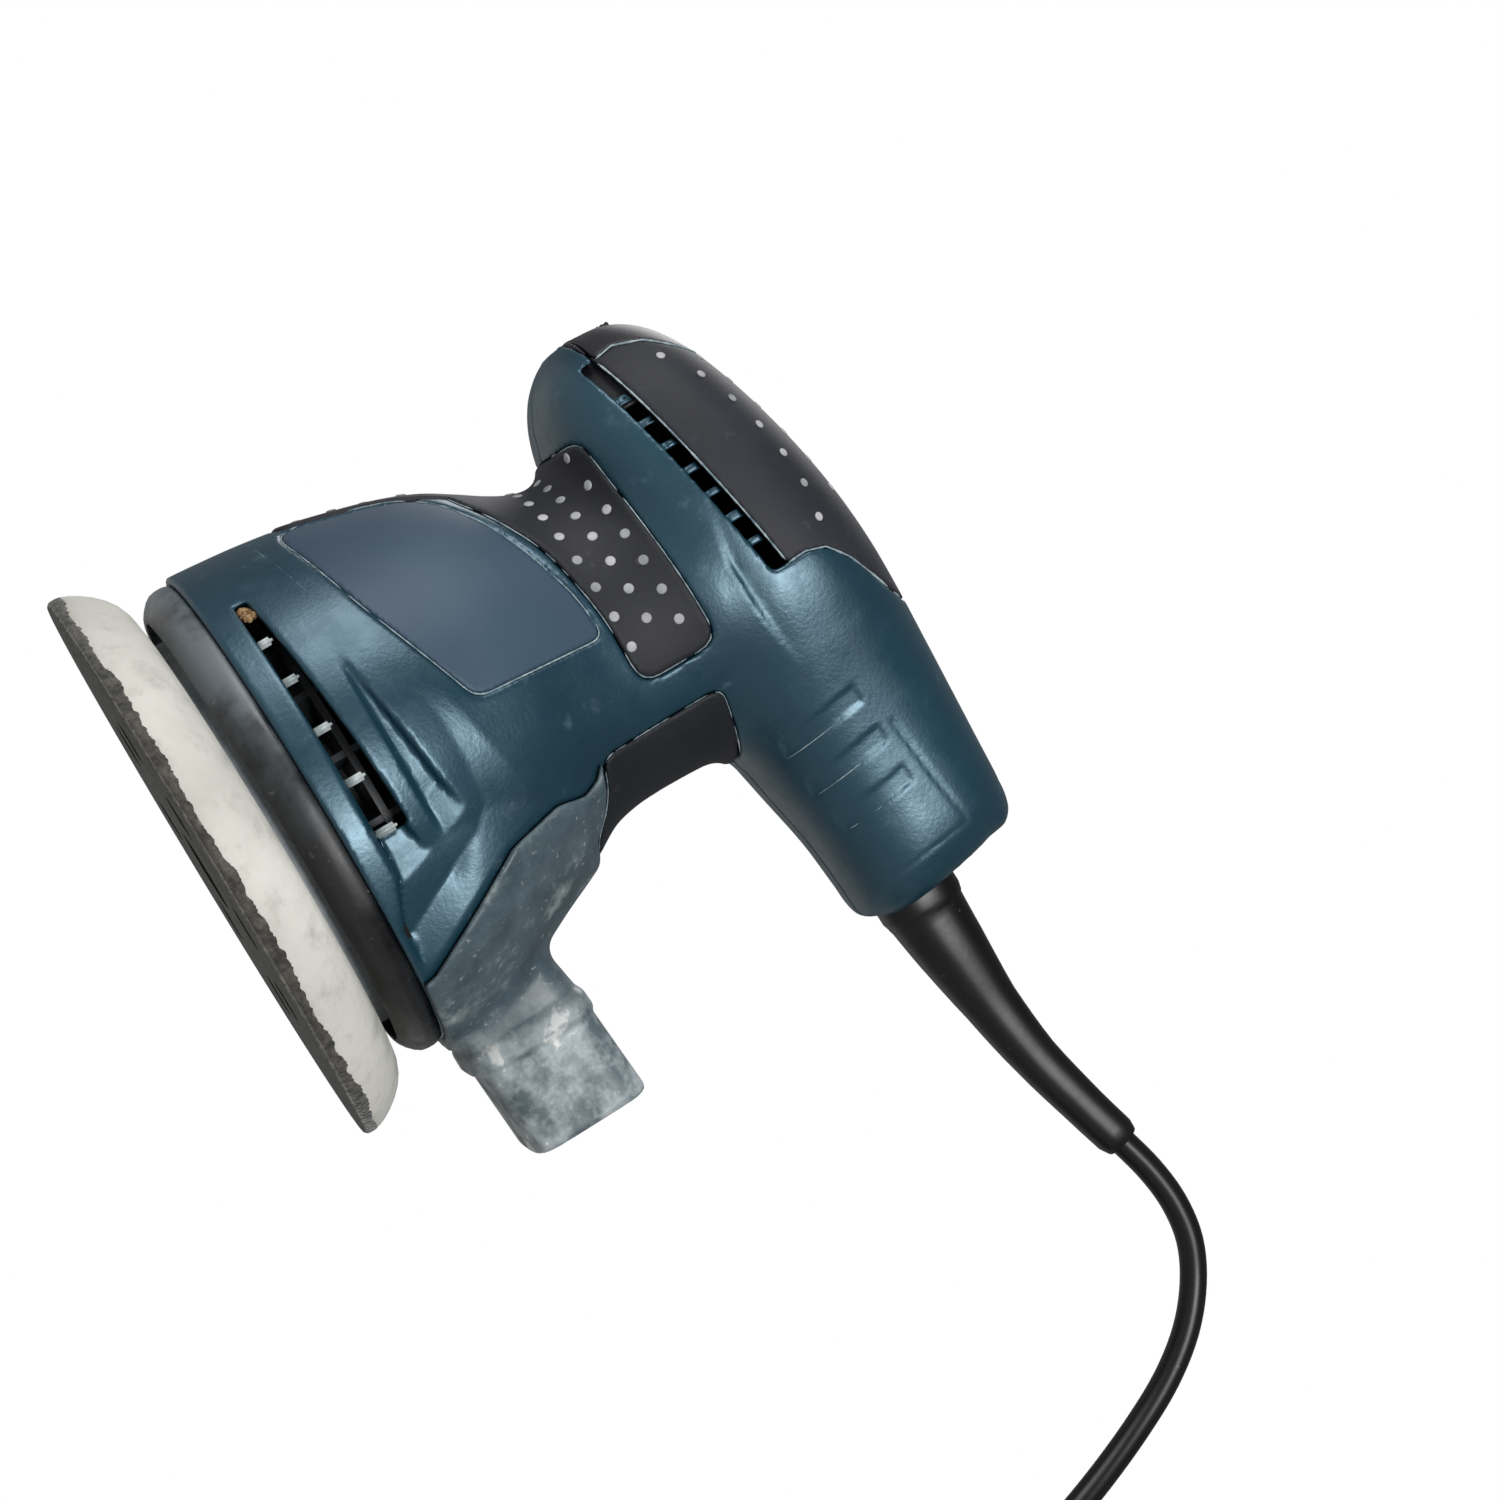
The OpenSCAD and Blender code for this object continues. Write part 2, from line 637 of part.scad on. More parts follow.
// Squarish solid along X through sections of [x, underside, top, width]
module duct(sections) {
    loft([for (s = sections)
        let (mid = (s[1] + s[2]) / 2, h = (s[2] - s[1]) / 2)
        [for (k = [0:duct_sides - 1])
            let (a = k * 360 / duct_sides)
            [s[0], s[3] / 2 * spow(cos(a), 2 / duct_power), mid + h * spow(sin(a), 2 / duct_power)]]]);
}
module dust_outlet() {
    color("#7d8684") difference() {
        union() {
            intersection() {
                difference() {
                    body_form(hood_proud, to_z = 80);
                    hood_bed();
                }
                across(HOOD);
            }
            difference() {
                duct(SPOUT);
                hood_bed();
            }
        }
        duct(THROAT);
    }
}
module brake_ring() {
    color("#1b1a1c") rotate_extrude() polygon([
        [49.2, 15.2], [49.9, 15.2], [51.6, 16], [53.4, 17.3], [54.2, 19], [54.2, base_z - eps],
        [51.2, base_z - eps], [51.2, base_z + 3], [50, base_z + 3], [50, 19], [49.2, 17.2]]);
}

// Everything on the pad turns about its own axis, orbit away from the motor's towards the left
module dust_hole_cuts(low, high) {
    for (k = [0:dust_holes - 1])
        rotate((k + 0.5) * 360 / dust_holes) translate([dust_pcd / 2, 0, low - 1])
            cylinder(d = dust_hole_d, h = high - low + 2);
}
module pad_hook_face() {
    color("#3a3836") translate([0, -orbit, 0]) difference() {
        cylinder(r = hook_r, h = hook_t);
        dust_hole_cuts(0, hook_t);
        translate([0, 0, -1]) cylinder(r = pad_middle_r, h = hook_t + 2);
    }
}
module pad_foam() {
    color("#dcdcd6") translate([0, -orbit, 0]) difference() {
        rotate_extrude() polygon([[pad_middle_r, hook_t], [hook_r - 0.2, hook_t], [hook_r - 0.5, 3.4],
            [hook_r - 1.5, 5.8], [hook_r - 3, 8], [hook_r - 5, 10.2], [hook_r - 7.8, 12],
            [hook_r - 11.5, pad_top], [pad_middle_r, pad_top]]);
        dust_hole_cuts(hook_t, pad_top);
    }
}
module pad_plate() {
    color("#a9adaf") translate([0, -orbit, 0]) difference() {
        translate([0, 0, pad_top]) cylinder(r = plate_r, h = pad_plate_top - pad_top);
        dust_hole_cuts(pad_top, pad_plate_top);
        translate([0, 0, pad_top - 1]) cylinder(r = shaft_r + run, h = 10);
    }
}
module pad_hub() {
    color("#8d9093") translate([0, -orbit, pad_plate_top]) difference() {
        union() {
            cylinder(r = pad_hub_r, h = counter_z - pad_plate_top - hub_gap);
            cylinder(r = pad_spindle_r, h = counter_z + pad_bearing_h - pad_plate_top - hub_gap);
        }
        translate([0, 0, -1]) cylinder(r = shaft_r + run, h = 9);
    }
}
module pad_screw() {
    color("#5c5f63") translate([0, -orbit, pad_top]) difference() {
        union() {
            translate([0, 0, -pad_screw_head_t]) cylinder(r = pad_screw_head_r, h = pad_screw_head_t);
            cylinder(r = shaft_r, h = pad_screw_len);
        }
        translate([0, 0, -pad_screw_head_t - 1]) cylinder(r = hex_r, h = 4, $fn = 6);
    }
}
module pad_bearing() {
    color("#b9bcbf") translate([0, -orbit, counter_z - 0.2])
        tube(pad_bearing_r, pad_spindle_r + run, pad_bearing_h);
}
module counterweight() {
    color("#8b8b86") difference() {
        union() {
            translate([0, 0, counter_z]) cylinder(r = counter_r, h = counter_top - counter_z);
            // weight opposite the pad's offset
            translate([0, 0, counter_z + 2]) rotate(30) rotate_extrude(angle = 120)
                translate([counter_r - 1, 0]) square([weight_t, weight_h]);
        }
        translate([0, -orbit, counter_z - 1]) cylinder(r = pad_bearing_r, h = pad_bearing_h + 0.8);
        translate([0, 0, counter_z]) cylinder(r = shaft_r, h = 20);
    }
}
module fan() {
    color("#303235") {
        difference() {
            union() {
                translate([0, 0, fan_disc]) cylinder(r = fan_r, h = fan_disc_t);
                translate([0, 0, fan_disc]) cylinder(r = fan_hub_r, h = fan_top - fan_disc);
                for (k = [0:fan_blades - 1]) rotate(k * 360 / fan_blades) translate([0, -blade_t / 2, 0]) {
                    translate([fan_inner_r, 0, fan_low])
                        cube([fan_r - 0.5 - fan_inner_r, blade_t, fan_disc - fan_low + 1]);
                    translate([blade_inner_r, 0, fan_disc + 1])
                        cube([fan_r - 0.5 - blade_inner_r, blade_t, fan_top - fan_disc - 1]);
                }
            }
            translate([0, 0, fan_disc - 1]) cylinder(r = shaft_r, h = 20);
        }
    }
}
module armature_shaft() {
    color("#c4c7ca") translate([0, 0, shaft_low]) cylinder(r = shaft_r, h = shaft_top - shaft_low);
}
module armature_core() {
    slots = 12;
    slot_w = 1.6;
    color("#77797c") difference() {
        translate([0, 0, core_z]) cylinder(r = armature_r, h = core_h);
        translate([0, 0, core_z - 1]) cylinder(r = shaft_r, h = core_h + 2);
        for (k = [0:slots - 1]) rotate(k * 360 / slots)
            translate([armature_r - 4, -slot_w / 2, core_z - 1]) cube([8, slot_w, core_h + 2]);
    }
}
module armature_winding() {
    color("#a8552e") {
        for (z = [core_z - winding_h, core_z + core_h])
            translate([0, 0, z]) tube(13, shaft_r, winding_h);
    }
}
module commutator() {
    color("#b87333") translate([0, 0, commutator_z]) difference() {
        union() {
            cylinder(r = commutator_r, h = commutator_h);
            cylinder(r = commutator_r + 1.6, h = 2);
        }
        translate([0, 0, -1]) cylinder(r = shaft_r, h = commutator_h + 2);
        for (k = [0:commutator_bars - 1]) rotate(k * 360 / commutator_bars)
            translate([commutator_r - 0.8, -0.25, 2.5]) cube([3, 0.5, commutator_h]);
    }
}
module field_core() {
    color("#6d6f72") translate([0, 0, core_z]) difference() {
        cylinder(r = field_r, h = core_h);
        translate([0, 0, -1]) cylinder(r = armature_r + 0.6, h = core_h + 2);
        // windows on each side for the coils
        for (a = [0, 180]) rotate(a)
            rotate(-38) translate([0, 0, -1]) rotate_extrude(angle = 76)
                translate([armature_r, 0]) square([7.4, core_h + 2]);
    }
}
module field_coils() {
    color("#9c4a28") for (a = [0, 180]) rotate(a)
        rotate(-36) translate([0, 0, core_z - 3.5]) rotate_extrude(angle = 72)
            translate([armature_r + 1, 0]) square([6, core_h + 7]);
}
module ball_bearing() {
    tube(bearing_r, shaft_r + run, bearing_h);
}
module lower_bearing() {
    color("#b9bcbf") translate([0, 0, lower_bearing_z]) ball_bearing();
}
module upper_bearing() {
    color("#b9bcbf") translate([0, 0, upper_bearing_z]) ball_bearing();
}
module upper_bearing_seat() {
    color("#202020") translate([0, 0, upper_bearing_z - 1]) difference() {
        cylinder(r = bearing_r + bearing_seat_t, h = bearing_h + 1);
        translate([0, 0, 1]) cylinder(r = bearing_r, h = bearing_h + 1);
        translate([0, 0, -1]) cylinder(r = shaft_r + 3, h = 4);
    }
}
module bearing_bridge() {
    color("#9a9c9e") difference() {
        union() {
            translate([0, 0, bridge_z]) cylinder(r = bridge_r, h = bridge_t);
            translate([0, 0, lower_bearing_z - 0.5])
                cylinder(r = bearing_r + 3, h = bridge_z + bridge_t - lower_bearing_z + 0.5);
        }
        translate([0, 0, lower_bearing_z]) cylinder(r = bearing_r, h = 20);
        translate([0, 0, lower_bearing_z - 2]) cylinder(r = shaft_r + 3, h = 20);
        for (k = [0:bridge_windows - 1]) rotate(k * 360 / bridge_windows)
            translate([bridge_window_x, 0, bridge_z - 1]) cylinder(r = bridge_window_r, h = bridge_t + 2);
        for (a = [45:90:315]) rotate(a) translate([bridge_screw_x, 0, bridge_z - 1])
            cylinder(r = screw_r + 0.1, h = bridge_t + 2);
    }
}
module bridge_screws() {
    color("#c9cbcd") for (a = [45:90:315]) rotate(a) translate([bridge_screw_x, 0, bridge_z]) {
        translate([0, 0, bridge_t]) cylinder(r = 3, h = 2);
        translate([0, 0, -2.4]) cylinder(r = screw_r, h = bridge_t + 2.5);
    }
}
module brush_holders() {
    color("#b8924a") difference() {
        union() {
            translate([0, 0, brush_plate_z]) tube(30.2, 12, brush_plate_t);
            for (a = [0, 180]) rotate(a) translate([-holder_w / 2, 11, brush_plate_z + 0.5])
                cube([holder_w, holder_len, holder_h]);
        }
        for (a = [0, 180]) rotate(a) translate([-brush_w / 2 - 0.1, 10, brush_z - brush_w / 2 - 0.1])
            cube([brush_w + 0.2, holder_len, brush_w + 0.2]);
    }
}
module carbon_brushes() {
    color("#2a2a2a") difference() {
        for (a = [0, 180]) rotate(a) translate([-brush_w / 2, commutator_r - 1, brush_z - brush_w / 2])
            cube([brush_w, brush_len, brush_w]);
        translate([0, 0, brush_z - 10]) cylinder(r = commutator_r + 0.1, h = 20);
    }
}
module brush_springs() {
    color("#c9cbcd") for (s = [-1, 1])
        translate([0, s * (commutator_r - 1 + brush_len), brush_z]) rotate([-90 * s, 0, 0]) {
            for (k = [0:spring_turns - 1]) translate([0, 0, wire_r + k * spring_pitch])
                rotate_extrude($fn = 32) translate([spring_r, 0]) circle(r = wire_r, $fn = 16);
            translate([spring_r, 0, wire_r])
                cylinder(r = 0.3, h = (spring_turns - 1) * spring_pitch, $fn = 16);
        }
}
module speed_dial() {
    ridges = 24;
    color("#2c2c30") translate([dial_x, dial_y, dial_z]) difference() {
        cylinder(r = dial_r, h = dial_h);
        translate([0, 0, -1]) cylinder(r = dial_bore + run, h = dial_h + 2);
        for (k = [0:ridges - 1]) rotate(k * 360 / ridges) translate([dial_r + 0.2, 0, -1])
            cylinder(r = 0.7, h = dial_h + 2, $fn = 16);
    }
}
module control_board() {
    color("#2f6b46") {
        block(BOARD);
        for (b = BOARD_BLOCKS) block(b);
        // shaft of the dial's potentiometer, and a capacitor
        translate([dial_x, dial_y, dial_z - 1.2]) cylinder(r = dial_bore, h = dial_h + 1);
        translate([30, 8, 134]) cylinder(r = 5, h = 11);
    }
}
module terminal_block() {
    color("#d8d4c6") difference() {
        block(TERMINAL);
        // ways in to the wire screws
        for (x = [4, 13], y = [4, 12]) translate(TERMINAL[0] + [x, y, 6]) cylinder(r = 2, h = 5, $fn = 32);
    }
}
module cord_clamp() {
    color("#3a3a3c") difference() {
        translate([clamp_x - clamp_size[0] / 2, -clamp_size[1] / 2, clamp_low]) cube(clamp_size);
        translate([clamp_x - 6, 0, lead_z]) rotate([0, 90, 0]) cylinder(r = tail_r, h = 12);
        for (s = [-1, 1]) translate([clamp_x, s * clamp_y, lead_z]) cylinder(r = 2, h = 10, $fn = 32);
    }
}
module clamp_screws() {
    color("#c9cbcd") for (s = [-1, 1]) translate([clamp_x, s * clamp_y, 0]) {
        translate([0, 0, clamp_low + clamp_size[2]]) cylinder(r = clamp_screw_head_r, h = 2.2, $fn = 32);
        translate([0, 0, clamp_screw_low])
            cylinder(r = clamp_screw_r, h = clamp_low + clamp_size[2] + 0.1 - clamp_screw_low, $fn = 32);
    }
}
module shell_screws() {
    color("#56595c") for (s = SCREWS) translate([s[0], 0, s[1]]) rotate([-90, 0, 0]) {
        translate([0, 0, -pilot_depth + 1]) cylinder(r = screw_r, h = s[2] + pilot_depth - 0.9, $fn = 32);
        translate([0, 0, s[2]]) difference() {
            cylinder(r = screw_head_r, h = 2.4, $fn = 32);
            translate([0, 0, 1]) cylinder(r = 1.4, h = 2, $fn = 6);
        }
    }
}
module strain_relief() {
    color("#1d1d1f") {
        sweep([for (p = RELIEF) [p[0], 0, p[1]]], [for (p = RELIEF) p[2]], relief_sides);
        translate([tail_x, 0, lead_z]) rotate([0, 90, 0]) cylinder(r = tail_r, h = RELIEF[0][0] - tail_x + 1);
    }
}
module power_cord() {
    color("#1d1d1f") {
        sweep(ROUTE, [for (p = ROUTE) cord_d / 2], cord_sides);
        sweep(TAIL, [for (p = TAIL) cord_d / 2], cord_sides);
    }
}
module cord_coil() {
    color("#1d1d1f") translate([coil_x, 0, 0]) tube(coil_out, coil_in, coil_layers * cord_d);
}
module plug_body() {
    color("#1d1d1f") translate([plug_x, plug_y, 0]) difference() {
        union() {
            intersection() {
                linear_extrude(plug_h) polygon(PLUG_PLAN);
                translate([-20, 0, 0]) rotate([90, 0, 90]) linear_extrude(40) polygon(PLUG_SIDE);
            }
            translate([0, 0, neck_z]) rotate([-90, 0, 0]) {
                cylinder(r = neck_r - 0.8, h = neck_len);
                for (ring = NECK_RINGS) translate([0, 0, ring[0]]) cylinder(r = neck_r, h = ring[1]);
            }
        }
        for (s = [-1, 1]) translate([s * pin_gap / 2, plug_len - pin_root, plug_h / 2]) rotate([-90, 0, 0])
            cylinder(r = pin_r, h = pin_root + 1);
    }
}
module plug_pins() {
    color("#c9cbcd") for (s = [-1, 1])
        translate([plug_x + s * pin_gap / 2, plug_y + plug_len - pin_root, plug_h / 2]) rotate([-90, 0, 0])
            cylinder(r = pin_r, h = pin_len + pin_root);
}

left_shell();
right_shell();
top_cap();
switch_bezel();
switch_button();
switch_body();
front_grip();
rear_grip();
label_plate();
dust_outlet();
brake_ring();
pad_hook_face();
pad_foam();
pad_plate();
pad_hub();
pad_screw();
pad_bearing();
counterweight();
fan();
armature_shaft();
armature_core();
armature_winding();
commutator();
field_core();
field_coils();
lower_bearing();
upper_bearing();
upper_bearing_seat();
bearing_bridge();
bridge_screws();
brush_holders();
carbon_brushes();
brush_springs();
speed_dial();
control_board();
terminal_block();
cord_clamp();
clamp_screws();
shell_screws();
strain_relief();
power_cord();
cord_coil();
plug_body();
plug_pins();
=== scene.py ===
import json
import math
import random

import bmesh
import bpy
import numpy as np
from mathutils import Matrix, Vector
from mathutils.bvhtree import BVHTree


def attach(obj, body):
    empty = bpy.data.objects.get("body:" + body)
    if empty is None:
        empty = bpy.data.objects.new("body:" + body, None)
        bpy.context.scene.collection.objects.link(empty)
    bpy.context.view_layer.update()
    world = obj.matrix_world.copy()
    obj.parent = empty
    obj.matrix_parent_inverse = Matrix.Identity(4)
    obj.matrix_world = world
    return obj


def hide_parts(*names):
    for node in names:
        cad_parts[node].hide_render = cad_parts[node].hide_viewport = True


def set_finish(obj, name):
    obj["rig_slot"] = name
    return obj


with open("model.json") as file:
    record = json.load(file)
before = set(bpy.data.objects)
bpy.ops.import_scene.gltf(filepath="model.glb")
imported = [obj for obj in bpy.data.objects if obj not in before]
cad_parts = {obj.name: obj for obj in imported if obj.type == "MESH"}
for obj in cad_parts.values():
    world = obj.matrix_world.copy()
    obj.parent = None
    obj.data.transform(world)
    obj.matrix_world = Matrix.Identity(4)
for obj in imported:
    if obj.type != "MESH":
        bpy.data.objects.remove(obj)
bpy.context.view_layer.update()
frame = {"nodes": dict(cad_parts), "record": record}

# The shape tables are in millimetres, as in the part's source. Meshes are made in metres.
MM = 0.001

# ---------------------------------------------------------------- camera

camera_azimuth = math.radians(5)
camera_elevation = math.radians(11.7515)
camera_roll = math.radians(58.7812)
camera_distance = 0.620
camera_lens = 70.18
camera_sensor = 36
camera_aim = Vector((0.0363, 0, 0.1104))
frame_w = 1500
frame_h = 1500


def camera_axes():
    """The camera's right, up and forward directions."""
    a, e, r = camera_azimuth, camera_elevation, camera_roll
    forward = Vector((math.sin(a) * math.cos(e), math.cos(a) * math.cos(e), math.sin(e)))
    level = Vector((math.cos(a), -math.sin(a), 0))
    rise = level.cross(forward)
    right = math.cos(r) * level + math.sin(r) * rise
    up = -math.sin(r) * level + math.cos(r) * rise
    return right, up, forward


def add_camera():
    right, up, forward = camera_axes()
    data = bpy.data.cameras.new("camera")
    data.lens = camera_lens
    data.sensor_width = camera_sensor
    data.sensor_fit = "AUTO"
    data.clip_start = 0.01
    data.clip_end = 20
    camera = bpy.data.objects.new("camera", data)
    bpy.context.scene.collection.objects.link(camera)
    place = Matrix((right, up, -forward)).transposed().to_4x4()
    place.translation = camera_aim - camera_distance * forward
    camera.matrix_world = place
    bpy.context.scene.camera = camera
    return camera


camera = add_camera()


def image_ray(x, y):
    """Start and direction of the ray through an image point."""
    side = max(frame_w, frame_h)
    local = Vector((x - frame_w / 2 + camera.data.shift_x * side,
                    frame_h / 2 - y + camera.data.shift_y * side,
                    -side * camera.data.lens / camera.data.sensor_width))
    return camera.matrix_world.translation, (camera.matrix_world.to_3x3() @ local).normalized()


def in_image(point):
    """Image place of a point in space."""
    local = camera.matrix_world.inverted() @ Vector(point)
    side = max(frame_w, frame_h)
    scale = side * camera.data.lens / camera.data.sensor_width / -local.z
    return (frame_w / 2 + local.x * scale - camera.data.shift_x * side,
            frame_h / 2 - local.y * scale + camera.data.shift_y * side)


def surface_point(tree, image_point):
    """Where the ray through an image point meets a surface, in millimetres, and the normal there."""
    start, direction = image_ray(*image_point)
    hit, normal, _, _ = tree.ray_cast(start, direction)
    if hit is None:
        reach = (camera_aim - start).length
        hit, normal, _, _ = tree.find_nearest(start + direction * reach)
    return np.array(hit) / MM, np.array(normal)


# Places read off the photograph
POINTS = {
    "pad_left": (50, 607),
    "pad_bottom": (363, 1130),
    "cap_top": (620, 323),
    "handle_right": (1004, 790),
    "slot_front": (585, 370),
    "slot_rear": (778, 565),
    "label_front": (278, 535),
    "label_low": (481.5, 698.5),
    "grip_corner": (648, 678),
    "relief_tip": (1120, 1145),
    "outlet_front": (233, 612),
    "spout_corner": (645, 1082),
    "grip_dot_a": (598.8, 506),
    "grip_dot_b": (682.4, 616.8),
    "cap_dot_a": (660.6, 355.3),
    "cap_dot_b": (818.8, 516.4),
}

# ---------------------------------------------------------------- meshes


def new_piece(name, vertices, faces, body, smooth=True):
    """A piece from vertices in millimetres, riding on a body."""
    mesh = bpy.data.meshes.new(name)
    points = np.asarray(vertices, dtype=float) * MM
    if isinstance(faces, np.ndarray):
        count, corners = faces.shape
        mesh.vertices.add(len(points))
        mesh.vertices.foreach_set("co", points.ravel())
        mesh.loops.add(count * corners)
        mesh.loops.foreach_set("vertex_index", faces.ravel())
        mesh.polygons.add(count)
        mesh.polygons.foreach_set("loop_start", np.arange(0, count * corners, corners))
        mesh.update(calc_edges=True)
    else:
        mesh.from_pydata([tuple(p) for p in points], [], [tuple(f) for f in faces])
    mesh.validate()
    mesh.polygons.foreach_set("use_smooth", [smooth] * len(mesh.polygons))
    piece = bpy.data.objects.new(name, mesh)
    bpy.context.scene.collection.objects.link(piece)
    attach(piece, body)
    return piece


def tree_of(piece):
    bpy.context.view_layer.update()
    return BVHTree.FromObject(piece, bpy.context.evaluated_depsgraph_get())


def lathe(profile, segments=160, centre=(0, 0)):
    """Vertices and faces of a closed profile of (radius, height) turned about Z."""
    turn = np.linspace(0, 2 * math.pi, segments, endpoint=False)
    ring = np.array(profile)
    x = centre[0] + np.outer(np.cos(turn), ring[:, 0])
    y = centre[1] + np.outer(np.sin(turn), ring[:, 0])
    z = np.tile(ring[:, 1], (segments, 1))
    n = len(profile)
    i, j = np.meshgrid(np.arange(segments), np.arange(n), indexing="ij")
    i2, j2 = (i + 1) % segments, (j + 1) % n
    faces = np.stack([i * n + j, i2 * n + j, i2 * n + j2, i * n + j2], -1).reshape(-1, 4)
    return np.stack([x, y, z], -1).reshape(-1, 3), faces


def tube_along(path, radii, sides, squarish=2.0):
    """Closed tube along points, with one radius for each and a rounder or squarer section."""
    path = np.asarray(path, dtype=float)
    tangent = np.gradient(path, axis=0)
    tangent /= np.linalg.norm(tangent, axis=1)[:, None]
    side = np.cross(tangent, (0.0, 1.0, 0.0) if abs(tangent[0, 1]) < 0.9 else (0.0, 0.0, 1.0))
    side /= np.linalg.norm(side, axis=1)[:, None]
    other = np.cross(tangent, side)
    turn = np.linspace(0, 2 * math.pi, sides, endpoint=False)
    c, s = power(np.cos(turn), 2 / squarish), power(np.sin(turn), 2 / squarish)
    radii = np.broadcast_to(np.asarray(radii, dtype=float), (len(path),))
    rings = path[:, None] + radii[:, None, None] * (
        c[None, :, None] * side[:, None] + s[None, :, None] * other[:, None])
    return loft(rings)


def loft(rings):
    """Vertices and faces of a closed skin through rings with the same number of points."""
    rows, sides, _ = rings.shape
    i, j = np.meshgrid(np.arange(rows - 1), np.arange(sides), indexing="ij")
    k = (j + 1) % sides
    quads = np.stack([i * sides + j, i * sides + k, (i + 1) * sides + k, (i + 1) * sides + j], -1)
    faces = [tuple(q) for q in quads.reshape(-1, 4)]
    faces.append(tuple(range(sides))[::-1])
    faces.append(tuple((rows - 1) * sides + n for n in range(sides)))
    return rings.reshape(-1, 3), faces


def joined(parts):
    """One list of vertices and faces from several."""
    vertices, faces, start = [], [], 0
    for points, polygons in parts:
        vertices.extend(map(tuple, points))
        faces.extend(tuple(int(n) + start for n in p) for p in polygons)
        start += len(points)
    return vertices, faces


def rounded_box(low, high, edge, segments=3):
    """Vertices and faces of a box with rounded edges."""
    work = bmesh.new()
    bmesh.ops.create_cube(work, size=1)
    low, high = np.array(low, dtype=float), np.array(high, dtype=float)
    for v in work.verts:
        v.co = Vector((low + high) / 2 + np.array(v.co) * (high - low))
    bmesh.ops.bevel(work, geom=work.edges[:], offset=edge, segments=segments, affect="EDGES")
    work.verts.ensure_lookup_table()
    result = ([tuple(v.co) for v in work.verts], [tuple(v.index for v in f.verts) for f in work.faces])
    work.free()
    return result


def power(value, exponent):
    """Signed power, for squarish round sections."""
    return np.sign(value) * np.abs(value) ** exponent


# ---------------------------------------------------------------- lead

CORD_R = 3
EXIT = (151, 0, 138)
# Free run, from the relief's tip to the coil
ROUTE = [(151, 0, 138), (160, 0, 140.4), (169, 0, 141.4), (178, 0, 140.2), (186.5, 0, 136),
         (194, -1, 129), (200, -2.5, 119.5), (204.5, -4.5, 108), (208, -7.5, 95), (210.5, -11.5, 81),
         (212.2, -16.5, 67), (214, -22.5, 54), (217, -29, 41.5), (221.5, -35.5, 30),
         (227.5, -41, 20), (235, -45.2, 12), (243.5, -47.8, 6.4), (252, -48.6, 3.6), (260, -48.8, 3)]
# Last run, from the coil's outer turn to the plug
TAIL = [(308.6, 0, 9), (309.6, 9, 8.2), (311.4, 18, 6.4), (312.6, 27, 5), (313, 36, 4.6)]
COIL_CENTRE = (260, 0)
# Radius of the coil's first and innermost turns, and of its last one on top
coil_outer = 48.8
coil_inner = 21
coil_last = 48.6
# Degrees of turning to the innermost turn, and in all
coil_turn_in = 1668
coil_turn_all = 3330
coil_turn_step = 15


def smooth_route(points, steps=5):
    """Catmull-Rom curve through points."""
    p = np.array([points[0], *points, points[-1]], dtype=float)
    out = []
    for a, b, c, d in zip(p, p[1:], p[2:], p[3:]):
        for k in range(steps):
            t = k / steps
            out.append(0.5 * (2 * b + (c - a) * t + (2 * a - 5 * b + 4 * c - d) * t * t
                              + (3 * b - a - 3 * c + d) * t ** 3))
    out.append(p[-1])
    return out


def coil_points():
    """Two layers of turns: inwards on the floor, then outwards on top of them."""
    out = []
    for turn in range(coil_turn_step, coil_turn_all, coil_turn_step):
        if turn < coil_turn_in:
            r = coil_outer - (coil_outer - coil_inner) * turn / coil_turn_in
        else:
            r = coil_inner + (coil_last - coil_inner) * (turn - coil_turn_in) / (coil_turn_all - coil_turn_in)
        # the lead climbs onto the lower layer within 150 degrees
        rise = min(max((turn - coil_turn_in + 75) / 150, 0), 1)
        z = CORD_R + 2 * CORD_R * rise * rise * (3 - 2 * rise)
        a = math.radians(turn - 90)
        out.append(np.array((COIL_CENTRE[0] + r * math.cos(a), COIL_CENTRE[1] + r * math.sin(a), z)))
    return out


def make_lead():
    path = smooth_route(ROUTE) + coil_points() + smooth_route(TAIL)
    length = sum(np.linalg.norm(b - a) for a, b in zip(path, path[1:])) * MM
    data = bpy.data.curves.new("lead", "CURVE")
    data.dimensions = "3D"
    # the points' radius times this depth is the lead's radius
    data.bevel_depth = 1
    data.bevel_resolution = 5
    data.use_fill_caps = True
    spline = data.splines.new("POLY")
    spline.points.add(len(path) - 1)
    for point, place in zip(spline.points, path):
        point.co = (*(place * MM), 1)
        point.radius = CORD_R * MM
    spline.use_smooth = True
    lead = bpy.data.objects.new("lead", data)
    bpy.context.scene.collection.objects.link(lead)
    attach(lead, "housing")
    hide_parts("power_cord", "cord_coil")
    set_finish(lead, "lead_rubber")
    return lead, length


# Where the lead enters the plug, with the height of the pins
PLUG = (313, 36, 6.5)
pin_spacing = 18.6
pin_r = 2
